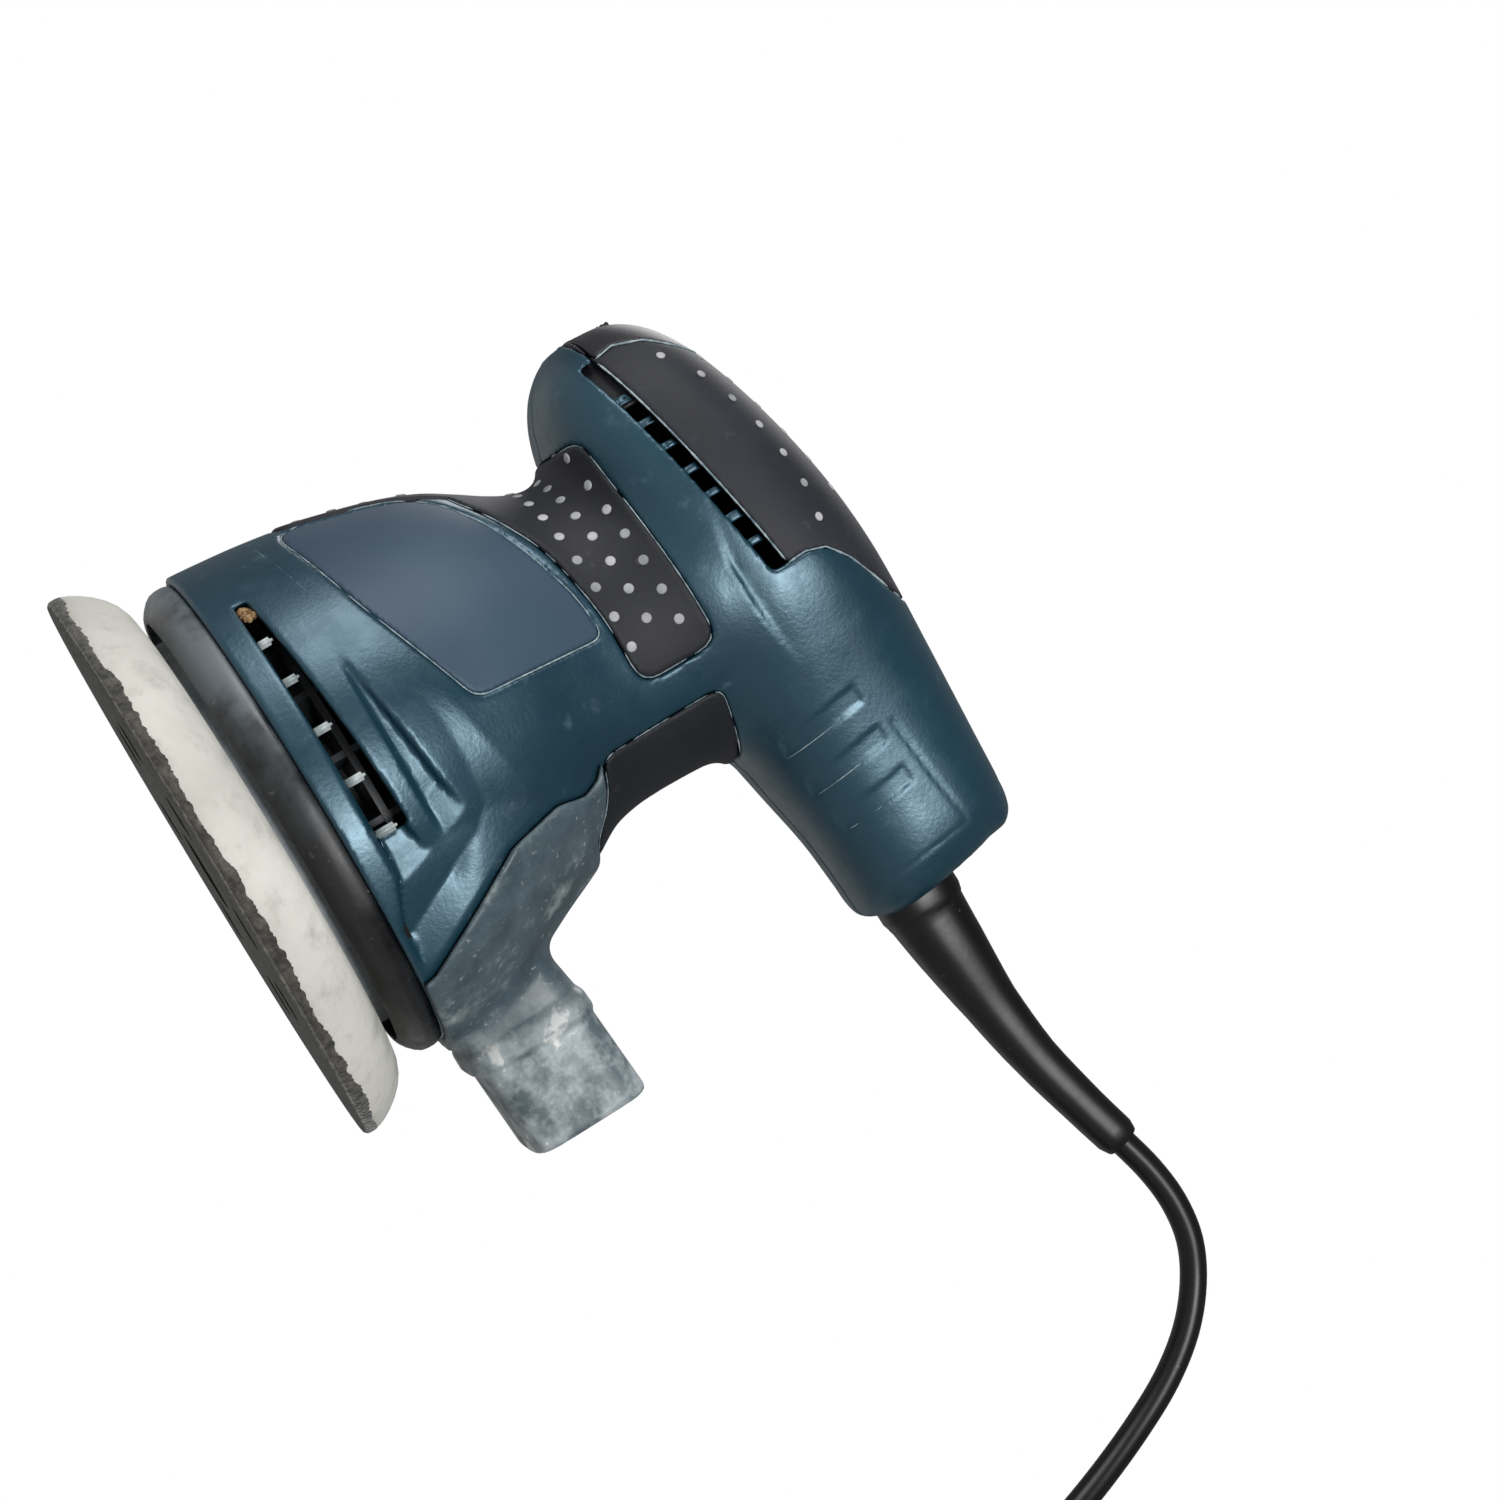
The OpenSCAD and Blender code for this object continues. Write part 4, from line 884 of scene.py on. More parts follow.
front_grip = layer_piece("front_grip_skin", (-60, -40, 44), (13, 40, 111), waist_zone, grip_proud, grip_seat,
                         "soft_grip", ["front_grip"])
rear_grip = layer_piece("rear_grip_skin", (17, -34, 68), (40, 34, 112), rear_zone, grip_proud, grip_seat,
                        "soft_grip", ["rear_grip"], edge=0.7)
label_plate = layer_piece("label_film", (-54, -56, 42), (2, -8, 92), label_zone, -0.12, 2.0,
                          "label_plate", ["label_plate"], edge=0.5)
top_cap = layer_piece("cap_skin", (-60, -40, 112), (30, 40, 155.5), cap_zone, 0.0, cap_t,
                      "black_plastic", ["top_cap"], edge=0.6, whole_head=True)
switch_bezel = layer_piece("bezel_skin", (-60, -30, 116), (-34, 30, 153), bezel_zone, -0.05, cap_t,
                           "black_plastic", ["switch_bezel"], edge=0.5, whole_head=True, step=0.4)


def baffle_zone(x, y, z, form):
    """Dark wall behind the inlet's front end, on both sides of the switch."""
    sides = np.maximum(np.abs(x + 45) - 7, np.abs(z - 118.6) - 3.6)
    return np.maximum(sides + 0 * y, 9 - np.abs(y))


inlet_baffle = layer_piece("inlet_baffle", (-54, -32, 113), (-36, 32, 124), baffle_zone, -3.2, 4.4,
                           "black_plastic", [], edge=0.4)


def round_dots(spots, radius, height):
    """Low domes on a surface: each spot is a place and the normal there."""
    parts = []
    for place, normal in spots:
        normal = normal / np.linalg.norm(normal)
        side = np.cross(normal, (0.13, 0.21, 0.97))
        side /= np.linalg.norm(side)
        other = np.cross(normal, side)
        turn = np.linspace(0, 2 * math.pi, 16, endpoint=False)
        rings = []
        for r, h in ((1.0, -0.4), (1.0, 0.35), (0.86, 0.75), (0.5, 0.97), (0.12, 1.0)):
            rings.append(place + normal * h * height
                         + radius * r * (np.cos(turn)[:, None] * side + np.sin(turn)[:, None] * other))
        parts.append(loft(np.array(rings)))
    return joined(parts)


def on_surface(tree, point, toward):
    """Place and outward normal where a ray from a point far outside meets a surface."""
    direction = Vector(toward).normalized()
    start = Vector(np.array(point) * MM) - direction * 0.1
    hit, normal, _, _ = tree.ray_cast(start, direction)
    if hit is None:
        return None
    return np.array(hit) / MM, np.array(normal)


dot_pitch = 7.0
waist_dot_r = 1.08
waist_dot_proud = 0.3
cap_dot_r = 0.95
cap_dot_proud = 0.28


def waist_dots():
    """Rows of dots round the waist, staggered from row to row, the same on both sides."""
    tree = tree_of(front_grip)
    first, _ = surface_point(tree, POINTS["grip_dot_a"])
    last, _ = surface_point(tree, POINTS["grip_dot_b"])
    top_z = (first[2] + last[2]) / 2
    spots = []
    # of the waist under the dots
    radius = 35.2
    for row in range(3):
        z = top_z - row * dot_pitch * 0.8
        start = math.atan2(last[1], last[0]) - (row % 2) * dot_pitch / 2 / radius
        for k in range(9):
            a = start - k * dot_pitch / radius
            if a < -math.pi + 0.03:
                continue
            out = (math.cos(a), math.sin(a), 0)
            for mirror in (1, -1):
                away = np.array((out[0], out[1] * mirror, 0))
                found = on_surface(tree, away * 100 + (0, 0, z), -away)
                if found:
                    spots.append(found)
    # up the front, in ones and twos
    for z in (52, 59, 66, 73, 80):
        for y in ((-4, 4) if z % 2 else (0,)):
            found = on_surface(tree, (-160, y, z), (1, 0, 0))
            if found:
                spots.append(found)
    return spots


def cap_dots():
    """Staggered rows of dots over the cap, from its side edge to the other side."""
    tree = tree_of(top_cap)
    first, _ = surface_point(tree, POINTS["cap_dot_a"])
    last, _ = surface_point(tree, POINTS["cap_dot_b"])
    count = max(2, round(abs(last[0] - first[0]) / dot_pitch) + 1)
    spots = []
    # each row lies at a share of the cap's half width
    for row, share in enumerate((1.0, 0.72, 0.42, 0.14, -0.14, -0.42, -0.72, -1.0)):
        for k in range(count + 1):
            t = (k + (0.5 if row % 2 else 0)) / (count - 1)
            if t > 1.05:
                continue
            x = first[0] + (last[0] - first[0]) * t
            y = (first[1] + (last[1] - first[1]) * t) * share
            found = on_surface(tree, (x, y, 300), (0, 0, -1))
            if found:
                spots.append(found)
    return spots


grip_dots = new_piece("grip_dots", *round_dots(waist_dots(), waist_dot_r, waist_dot_proud), "housing")
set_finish(grip_dots, "soft_grip")
top_dots = new_piece("cap_dots", *round_dots(cap_dots(), cap_dot_r, cap_dot_proud), "housing")
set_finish(top_dots, "soft_grip")

# ---------------------------------------------------------------- pale beads: dust packed in the joints and painted highlight along edges


bead_step = 0.9
bead_sunk = 0.1


def seam_bead(outline, corner, gaps, radius=0.13, closed=True):
    """Broken bead along an outline on both flanks: pale, as sanding dust packed in a joint and as a painted
    highlight along its edge.

    gaps is the chance of a break at each step.
    """
    points = fillet_corners(outline, corner) if closed else np.array(outline, dtype=float)
    if closed:
        points = np.vstack([points, points[:1]])
    lengths = np.concatenate([[0], np.cumsum(np.linalg.norm(np.diff(points, axis=0), axis=1))])
    at = np.arange(0, lengths[-1], bead_step)
    along = np.stack([np.interp(at, lengths, points[:, c]) for c in (0, 1)], -1)
    parts, run = [], []
    # the last place is off the form, so it ends the last run
    for u, w in [*along, (-70, 100)]:
        spot = flank_place(u, w) / MM
        if random.random() > gaps and spot[1] < -10 and u > -54:
            run.append(spot + (0, bead_sunk, 0))
            continue
        if len(run) > 2:
            radii = np.array([radius * random.uniform(0.6, 1.2) for _ in run])
            radii[0] = radii[-1] = 0.03
            for side in (1, -1):
                vertices, faces = tube_along(np.array(run) * (1, side, 1), radii, 6, 1.0)
                parts.append((vertices, faces if side > 0 else [f[::-1] for f in faces]))
        run = []
    return parts


def make_dust_and_highlight_beads():
    """Pale beads in the joints round the label, the grips and the cap, and along edges of the carving: partly
    dust packed in the joints, partly painted highlight along the edges.
    """
    random.seed(11)
    parts = seam_bead(LABEL, 3.0, 0.04)
    parts += seam_bead(WAIST_GRIP, waist_corner, 0.07) + seam_bead(REAR_GRIP, 3.0, 0.1)
    # the cap's edge, the top of the bevel and the finger bars get pale lines of painted highlight
    lines = [(CAP_REAR[:-1], 0.02, 0.2), ([(-49, slot_edge(-49)), CAP_REAR[0]], 0, 0.2),
             (BEZEL[1:8], 0, 0.2), (SKIRT[2:6], 0.1, 0.09)]
    for _, top, foot, _ in FINGER_BARS:
        middle = (top[0] * 0.6 + foot[0] * 0.4, top[1] * 0.6 + foot[1] * 0.4)
        lines.append(([middle, foot], 0.15, 0.1))
    for line, gaps, radius in lines:
        parts += seam_bead(line, 0, gaps, radius, closed=False)
    dust = new_piece("dust_and_highlight_beads", *joined(parts), "housing")
    soften_by_angle(dust, 60)
    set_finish(dust, "outlet_plastic")
    return dust


def make_dust_lump():
    """Wood dust caught at the front end of the air outlets."""
    random.seed(3)
    parts = []
    for side in (-1, 1):
        for _ in range(16):
            x, z = random.uniform(-41.2, -38.4), random.uniform(29.8, 31.9)
            y = -flank_place(x, 31)[1] / MM - 1.6
            size = random.uniform(0.5, 0.95)
            crumb = ((0.01, -size), (size * 0.8, -size * 0.5), (size, size * 0.1), (size * 0.6, size * 0.7),
                     (0.01, size))
            parts.append(lathe([(r, z + h) for r, h in crumb], 9, (x, side * (y - random.uniform(0, 1.4)))))
    lump = new_piece("outlet_dust_lump", *joined(parts), "housing")
    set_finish(lump, "outlet_plastic")
    return lump


dust_and_highlight_beads = make_dust_and_highlight_beads()
dust_lump = make_dust_lump()

# ---------------------------------------------------------------- outlet ribs, dust hood and spout


rib_set_back = 1.5
rib_deep = 4
rib_low = 28.8


def make_outlet_ribs():
    """Upright bars across the air outlets, set back behind the slot's lips."""
    parts = []
    for middle in OUTLET_RIBS:
        sunk = float(flank_relief(np.array([[middle]]), np.array([[28.2]]))[0, 0])
        front = -flank_place(middle, 31)[1] / MM - sunk - rib_set_back
        top = 32.2 + 0.035 * (middle + 33)
        for side in (-1, 1):
            y0, y1 = sorted((side * front, side * (front - rib_deep)))
            parts.append(rounded_box((middle - outlet_rib_w / 2, y0, rib_low),
                                     (middle + outlet_rib_w / 2, y1, top), 0.6))
    ribs = new_piece("outlet_ribs", *joined(parts), "housing")
    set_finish(ribs, "outlet_plastic")
    return ribs


def spout_distance(sections, x, y, z, square=5):
    """Distance outside a squarish duct along X."""
    keys = [s[0] for s in sections]
    low, top, wide = (np.interp(x, keys, [s[c] for s in sections]) for c in (1, 2, 3))
    level = np.abs(z - (low + top) / 2) / ((top - low) / 2)
    side = np.abs(y) / (wide / 2)
    round_radius = (level ** square + side ** square) ** (1 / square)
    size = np.minimum((top - low) / 2, wide / 2)
    return (round_radius - 1) * size


# Dimples of the bag's catch on the spout's sides: x, z
CATCH_DIMPLES = [(80.5, 31), (81.5, 41.5), (80.5, 50)]


def make_hood():
    """Hood over the housing's rear with its spout: one moulding, hollow from the throat to the end."""
    step = 0.65
    grid = lattice((17, -54, 18), (87, 54, 80), step)
    x, y, z = grid
    form = form_distance(x, y, z, step)
    zone = outline_distance(HOOD, x[:, 0], z[0], 0.8)[:, None, :] + 0 * y
    hood = smooth_max(form - hood_proud, zone, 1.2)
    spout = spout_distance(SPOUT, x, y, z)
    spout = smooth_max(spout, x - SPOUT[-1][0], 1.6)
    # the spout starts inside the hood
    spout = np.maximum(spout, 42 - x)
    both = smooth_min(hood, spout, 3.5)
    both = np.maximum(both, -(form + hood_seat))
    both = smooth_max(both, -spout_distance(THROAT, x, y, z), 0.7)
    both = np.maximum(both, BODY[0][0] + 0.3 - z)
    for side in (-1, 1):
        for dx, dz in CATCH_DIMPLES:
            dimple = np.sqrt((x - dx) ** 2 + (y - side * 17.3) ** 2 + (z - dz) ** 2) - 0.9
            both = smooth_max(both, -dimple, 0.4)
    points, faces = skin(both.astype(np.float32), grid, step)
    hood_piece = new_piece("dust_hood", points, faces, "housing")
    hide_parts("dust_outlet")
    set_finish(hood_piece, "outlet_plastic")
    return hood_piece


outlet_ribs = make_outlet_ribs()
dust_hood = make_hood()

# ---------------------------------------------------------------- pad and brake ring

PAD_R = 62.5
PAD_AXIS = (0, -1.25)
hole_r = 5
hole_circle = 32.5
hole_count = 8


def drill(piece, low, high):
    """Cuts the pad's dust holes."""
    cutters = []
    for k in range(hole_count):
        a = 2 * math.pi * (k + 0.5) / hole_count
        centre = (PAD_AXIS[0] + hole_circle * math.cos(a), PAD_AXIS[1] + hole_circle * math.sin(a))
        cutters.append(lathe([(0.01, low), (hole_r, low), (hole_r, high), (0.01, high)], 40, centre))
    vertices, faces = joined(cutters)
    mesh = bpy.data.meshes.new("cutter")
    mesh.from_pydata([tuple(np.array(v) * MM) for v in vertices], [], faces)
    cutter = bpy.data.objects.new("cutter", mesh)
    bpy.context.scene.collection.objects.link(cutter)
    cut = piece.modifiers.new("holes", "BOOLEAN")
    cut.operation = "DIFFERENCE"
    cut.object = cutter
    cut.solver = "EXACT"
    bpy.context.view_layer.update()
    result = bpy.data.meshes.new_from_object(piece.evaluated_get(bpy.context.evaluated_depsgraph_get()))
    piece.modifiers.clear()
    piece.data = result
    bpy.data.objects.remove(cutter)


pad_hole_r = 9
# Profiles of (distance in from the pad's edge, height)
FOAM_EDGE = [(0.9, 1.7), (0.25, 2.2), (0.3, 3.4), (0.9, 4.9), (2, 6.8), (3.5, 8.8), (5.2, 10.5), (7.2, 11.9),
             (9.4, 12.8), (12, 13.2)]
HOOK_EDGE = [(0.7, 0), (0.15, 0.5), (0, 1.2), (0, 2.1), (0.1, 2.6), (0.5, 2.7), (0.9, 1.9)]
# Rows of the hook disc's profile that fray, and how much of the fraying each takes
FRINGE = [(4, 0.6), (5, 1.0), (6, 1.0)]


def pad_profile(bottom, edge, top):
    return [(pad_hole_r, bottom), *[(PAD_R - inward, z) for inward, z in edge], (pad_hole_r, top)]


def make_foam():
    foam = new_piece("pad_foam_disc", *lathe(pad_profile(1.8, FOAM_EDGE, 13.2), 200, PAD_AXIS), "pad")
    drill(foam, 0, 15)
    soften_by_angle(foam, 35)
    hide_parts("pad_foam")
    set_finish(foam, "pad_foam")
    return foam


def make_hook():
    """Hook disc under the foam, with a frayed upper rim."""
    random.seed(5)
    turns = 900
    profile = pad_profile(0, HOOK_EDGE, 1.8)
    points, faces = lathe(profile, turns, PAD_AXIS)
    points = points.reshape(turns, len(profile), 3)
    fringe = 0.0
    for k in range(turns):
        fringe = 0.6 * fringe + random.uniform(-0.26, 0.26)
        turn = 2 * math.pi * k / turns
        wave = 0.3 * math.sin(8 * turn) + 0.2 * math.sin(19 * turn)
        for row, share in FRINGE:
            points[k, row, 2] += share * (fringe + wave)
    hook = new_piece("pad_hook_disc", points.reshape(-1, 3), faces, "pad")
    drill(hook, -2, 6)
    soften_by_angle(hook, 50)
    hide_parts("pad_hook_face")
    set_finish(hook, "hook_fabric")
    return hook


def make_brake_ring():
    """Rubber ring that stops the pad from spinning up, with a soft lip and an outer band; its grey at the
    front is a painted highlight, partly scuffing.
    """
    profile = [(49.2, 15.3), (49.8, 15.1), (50.6, 15.4), (51.8, 16.2), (53.1, 17.4), (53.9, 18.6),
               (54.15, 19.8), (54.2, 21.2), (54, 22.2), (53.6, 22.85), (52.3, 22.95), (52.3, 25.9),
               (51.1, 25.9), (50.7, 20), (50.2, 18.4), (49.3, 16.9)]
    ring = new_piece("brake_band", *lathe(profile, 200), "housing")
    soften_by_angle(ring, 50)
    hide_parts("brake_ring")
    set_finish(ring, "brake_rubber")
    return ring


pad_foam = make_foam()
pad_hook = make_hook()
brake_ring = make_brake_ring()

# ---------------------------------------------------------------- switch, lead exit

# Strain relief: x, height and radius
RELIEF = [(72, 125.4, 9.2), (83.5, 125.9, 9.2), (86, 126, 8.5), (95, 126.7, 7.7), (110, 128.2, 6.0),
          (125, 130.7, 5.1), (140, 134.7, 4.7), (149, 137.4, 4.6), (151, 138, 4)]


def make_relief():
    """Tapered, slightly squarish sleeve, with a cut end that the lead leaves."""
    rows = smooth_route([(x, 0, z) for x, z, _ in RELIEF], 4)
    radii = np.interp([p[0] for p in rows], [r[0] for r in RELIEF], [r[2] for r in RELIEF])
    points, faces = tube_along(rows, radii, 40, 2.5)
    relief = new_piece("relief_sleeve", points, faces, "housing")
    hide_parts("strain_relief")
    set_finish(relief, "lead_rubber")
    return relief


relief = make_relief()


# Slide button: its near side and width, then its grip ridges
button_y = -8
button_w = 11
ridge_count = 6
ridge_low = 122.9
ridge_pitch = 1.05


def make_button():
    """Slide button with grip ridges across it and a tongue that reaches the switch."""
    far_y = button_y + button_w
    ridges = [ridge_low + k * ridge_pitch for k in range(ridge_count)]
    work = [rounded_box((-56.5, button_y + 0.6, z - 0.32), (-55.2, far_y - 0.6, z + 0.32), 0.2, 2)
            for z in ridges]
    work.append(rounded_box((-56.1, button_y, 122.0), (-53.4, far_y, 129.0), 0.7))
    work.append(rounded_box((-55, -4.5, 124), (-45.4, -0.5, 127), 0.3, 2))
    button = new_piece("slide_button", *joined(work), "switch")
    soften_by_angle(button, 45)
    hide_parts("switch_button")
    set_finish(button, "black_plastic")
    return button


slide_button = make_button()

# ---------------------------------------------------------------- materials


def colour(code):
    """Linear colour of an sRGB hex code."""
    parts = [int(code[i:i + 2], 16) / 255 for i in (1, 3, 5)]
    return (*[c / 12.92 if c <= 0.04045 else ((c + 0.055) / 1.055) ** 2.4 for c in parts], 1)


def give(tree, made, key, value):
    """Sets a node's input to a value, or links a socket to it."""
    if isinstance(value, bpy.types.NodeSocket):
        tree.links.new(value, made.inputs[key])
    else:
        made.inputs[key].default_value = value


def node(tree, kind, links=None, **settings):
    """Adds a node with its settings; links maps its inputs to sockets or values."""
    made = tree.nodes.new(kind)
    for key, value in settings.items():
        setattr(made, key, value)
    for key, value in (links or {}).items():
        give(tree, made, key, value)
    return made


def material(name, **shader):
    """A material with its shader's own numbers set; returns it, its tree and the shader."""
    made = bpy.data.materials.new(name)
    made.use_nodes = True
    tree = made.node_tree
    tree.nodes.clear()
    surface = node(tree, "ShaderNodeBsdfPrincipled", {k.replace("_", " "): v for k, v in shader.items()})
    node(tree, "ShaderNodeOutputMaterial", {"Surface": surface.outputs["BSDF"]})
    return made, tree, surface


def place(tree):
    """Places on the object, in metres, which stay with the piece."""
    return node(tree, "ShaderNodeTexCoord").outputs["Object"]


def along_axis(tree, vector, axis):
    return node(tree, "ShaderNodeSeparateXYZ", {0: vector}).outputs[axis]


def math_node(tree, operation, *values):
    return node(tree, "ShaderNodeMath", dict(enumerate(values)), operation=operation).outputs[0]


def noise(tree, size_mm, detail=3, roughness=0.55):
    """Noise whose blotches are about size_mm across."""
    return node(tree, "ShaderNodeTexNoise", {"Vector": place(tree), "Scale": 1000 / size_mm / 2,
                                             "Detail": detail, "Roughness": roughness}).outputs["Fac"]


def waves(tree, pitch_mm, distortion=0.0, **settings):
    """Stripes or rings about pitch_mm apart."""
    return node(tree, "ShaderNodeTexWave", {"Vector": place(tree), "Scale": 1000 / pitch_mm / 6.3,
                                            "Distortion": distortion}, **settings).outputs["Fac"]


def between(tree, fac, low, high, a=0.0, b=1.0):
    """Maps a value from low..high to a..b, and no further."""
    return node(tree, "ShaderNodeMapRange", {"Value": fac, "From Min": low, "From Max": high,
                                             "To Min": a, "To Max": b}, clamp=True).outputs["Result"]


def mixed(tree, fac, first, second):
    made = node(tree, "ShaderNodeMix", data_type="RGBA")
    for key, value in ((0, fac), (6, first), (7, second)):
        give(tree, made, key, value)
    return made.outputs[2]


def bumped(tree, surface, height, depth_mm, strength=1.0):
    """Fine relief on a surface."""
    relief_node = node(tree, "ShaderNodeBump",
                       {"Height": height, "Distance": depth_mm * MM, "Strength": strength})
    tree.links.new(relief_node.outputs["Normal"], surface.inputs["Normal"])


def layered(tree, base, *layers):
    """Colour in two tones, with layers of wear or dust over it.

    The base is a noise (size in mm, detail, roughness), its low and high ends and the two colours.
    A layer is a noise, its low and high ends, the most that the layer covers, and its colour.
    """
    grain, low, high, first, second = base
    shade = mixed(tree, between(tree, noise(tree, *grain), low, high), colour(first), colour(second))
    for grain, low, high, most, tint in layers:
        shade = mixed(tree, between(tree, noise(tree, *grain), low, high, 0, most), shade, colour(tint))
    return shade


def rough_between(tree, surface, fac, low, high, least, most):
    tree.links.new(between(tree, fac, low, high, least, most), surface.inputs["Roughness"])


def finish(name, base, *layers, bump, rough=None, **shader):
    """A material of layered colour.

    bump is a noise, its depth in mm and its strength. rough is a noise, its low and high ends and the
    roughness at each.
    """
    made, tree, surface = material(name, **shader)
    tree.links.new(layered(tree, base, *layers), surface.inputs["Base Color"])
    if rough:
        rough_between(tree, surface, noise(tree, *rough[0]), *rough[1:])
    bumped(tree, surface, noise(tree, *bump[0]), *bump[1:])
    return made


def spark_textured_abs():
    """Moulded ABS with a spark-eroded texture: even fine grain, soft sheen, a little pale dust."""
    dust = (3.2, 4, 0.65)
    return finish("spark_textured_abs", ((28,), 0.3, 0.7, "#0b2632", "#0f303d"),
                  (dust, 0.62, 0.8, 0.3, "#5c737b"),
                  bump=((0.45, 2, 0.6), 0.06, 0.8), rough=(dust, 0.35, 0.75, 0.33, 0.46),
                  IOR=1.55, Specular_IOR_Level=0.72, Specular_Tint=(0.6, 0.85, 1.0, 1))


def soft_tpe(name="soft_tpe", dark="#131419", light="#1d1e24"):
    """Soft-touch elastomer: matt charcoal with a fine grain, greyed where it is handled."""
    return finish(name, ((14, 4, 0.6), 0.3, 0.7, dark, light), ((2.4, 5, 0.7), 0.62, 0.78, 0.35, "#56565c"),
                  bump=((0.5, 2, 0.6), 0.05, 0.6), Roughness=0.62, IOR=1.5, Specular_IOR_Level=0.3)


def rubbed_tpe_dots():
    """Tops of the grip's dots: the same elastomer rubbed pale and filled with dust."""
    return finish("rubbed_tpe_dots", ((5, 3, 0.6), 0.35, 0.65, "#737478", "#a7a7a9"),
                  bump=((0.5, 2), 0.06, 0.5), Roughness=0.7, IOR=1.5)


def smooth_label_film():
    """Bare name-plate film: smooth slate-blue polycarbonate, slightly glossy."""
    return finish("smooth_label_film", ((18,), 0.3, 0.7, "#263849", "#2d4253"),
                  bump=((0.35, 2), 0.02, 0.4), Roughness=0.55, IOR=1.5, Specular_IOR_Level=0.4)


def moulded_nylon(name="moulded_nylon", dark="#17171b", light="#202025"):
    """Glass-filled nylon: near-black, satin, with a fine grain."""
    return finish(name, ((12,), 0.3, 0.7, dark, light),
                  bump=((0.45, 2, 0.6), 0.05, 0.6), Roughness=0.48, IOR=1.5, Specular_IOR_Level=0.35)


def dusty_abs():
    """Slate ABS of the outlet under sanding dust: thin streaks near the body, caked on the spout."""
    made, tree, surface = material("dusty_abs", IOR=1.5, Specular_IOR_Level=0.4)
    patch, cake = (9, 5, 0.62), (13, 5, 0.68)
    fine = noise(tree, 0.9, 3, 0.7)
    near_body = layered(tree, ((4.5, 4, 0.6), 0.35, 0.65, "#38464d", "#4e5d64"),
                        (patch, 0.52, 0.62, 0.7, "#8b9291"), (patch, 0.62, 0.65, 1, "#b9bab6"))
    on_spout = layered(tree, (cake, 0.4, 0.5, "#4f5b60", "#949da0"), (cake, 0.52, 0.545, 1, "#cfd0cd"))
    base = mixed(tree, between(tree, along_axis(tree, place(tree), "X"), 0.054, 0.066), near_body, on_spout)
    base = mixed(tree, between(tree, fine, 0.62, 0.78, 0, 0.5), base, colour("#c4c5c2"))
    tree.links.new(base, surface.inputs["Base Color"])
    rough_between(tree, surface, noise(tree, *patch), 0.45, 0.62, 0.42, 0.75)
    bumped(tree, surface, fine, 0.08, 0.6)
    return made


def dusty_rib_plastic():
    """Ribs in the outlet, rubbed bright and pale by dust."""
    return finish("dusty_rib_plastic", ((2.2, 4, 0.6), 0.35, 0.65, "#5f6f71", "#a9b0af"),
                  bump=((0.5, 2), 0.04, 0.5), Roughness=0.5, IOR=1.5)


def dust_and_edge_highlight():
    """Pale grey-blue and quite matt: fine sanding dust packed in joints, and painted highlight along edges.
    """
    return finish("dust_and_edge_highlight", ((1.6, 4, 0.7), 0.35, 0.65, "#4f656d", "#9fabae"),
                  bump=((0.3, 2), 0.04, 0.6), Roughness=0.95, IOR=1.4, Specular_IOR_Level=0.2)


def caked_wood_dust():
    """Lump of brown wood dust caught in the outlet."""
    grains = (1.0, 4, 0.7)
    return finish("caked_wood_dust", (grains, 0.35, 0.65, "#4a3524", "#a08361"),
                  bump=(grains, 0.3, 1.0), Roughness=1.0, IOR=1.4, Specular_IOR_Level=0.1)


def closed_cell_foam():
    """Closed-cell foam edge: off-white, matt, faintly mottled, dented, with grey finger marks."""
    made, tree, surface = material("closed_cell_foam", Roughness=0.9, IOR=1.4, Subsurface_Weight=0.08,
                                   Subsurface_Radius=(0.004, 0.004, 0.0035), Subsurface_Scale=0.3)
    base = layered(tree, ((20, 4), 0.35, 0.65, "#aeada6", "#c9c7c0"),
                   ((4, 4, 0.65), 0.52, 0.72, 0.6, "#94938c"))
    tree.links.new(base, surface.inputs["Base Color"])
    cells, dents = noise(tree, 0.9, 3, 0.65), noise(tree, 7, 4, 0.6)
    bumped(tree, surface, math_node(tree, "MULTIPLY_ADD", dents, 4.0, cells), 0.16, 0.8)
    return made


def hook_pile():
    """Hook face: dark pile of stiff nylon hooks, brown-grey, lighter on the face that points down and darker
    round the edge.
    """
    made, tree, surface = material("hook_pile", Roughness=0.95, IOR=1.5, Sheen_Weight=0.25)
    pile = node(tree, "ShaderNodeTexVoronoi", {"Vector": place(tree), "Scale": 900.0}).outputs["Distance"]
    tuft = (1.3, 4, 0.7)
    edge = layered(tree, (tuft, 0.4, 0.7, "#2b2a26", "#56524b"))
    face = layered(tree, (tuft, 0.4, 0.7, "#6f6c65", "#a29d92"))
    # lighter where the surface points down, darker round the edge
    up = along_axis(tree, node(tree, "ShaderNodeNewGeometry").outputs["True Normal"], "Z")
    tree.links.new(mixed(tree, between(tree, up, -0.9, -0.6, 1, 0), edge, face), surface.inputs["Base Color"])
    bumped(tree, surface, pile, 0.4, 0.9)
    return made


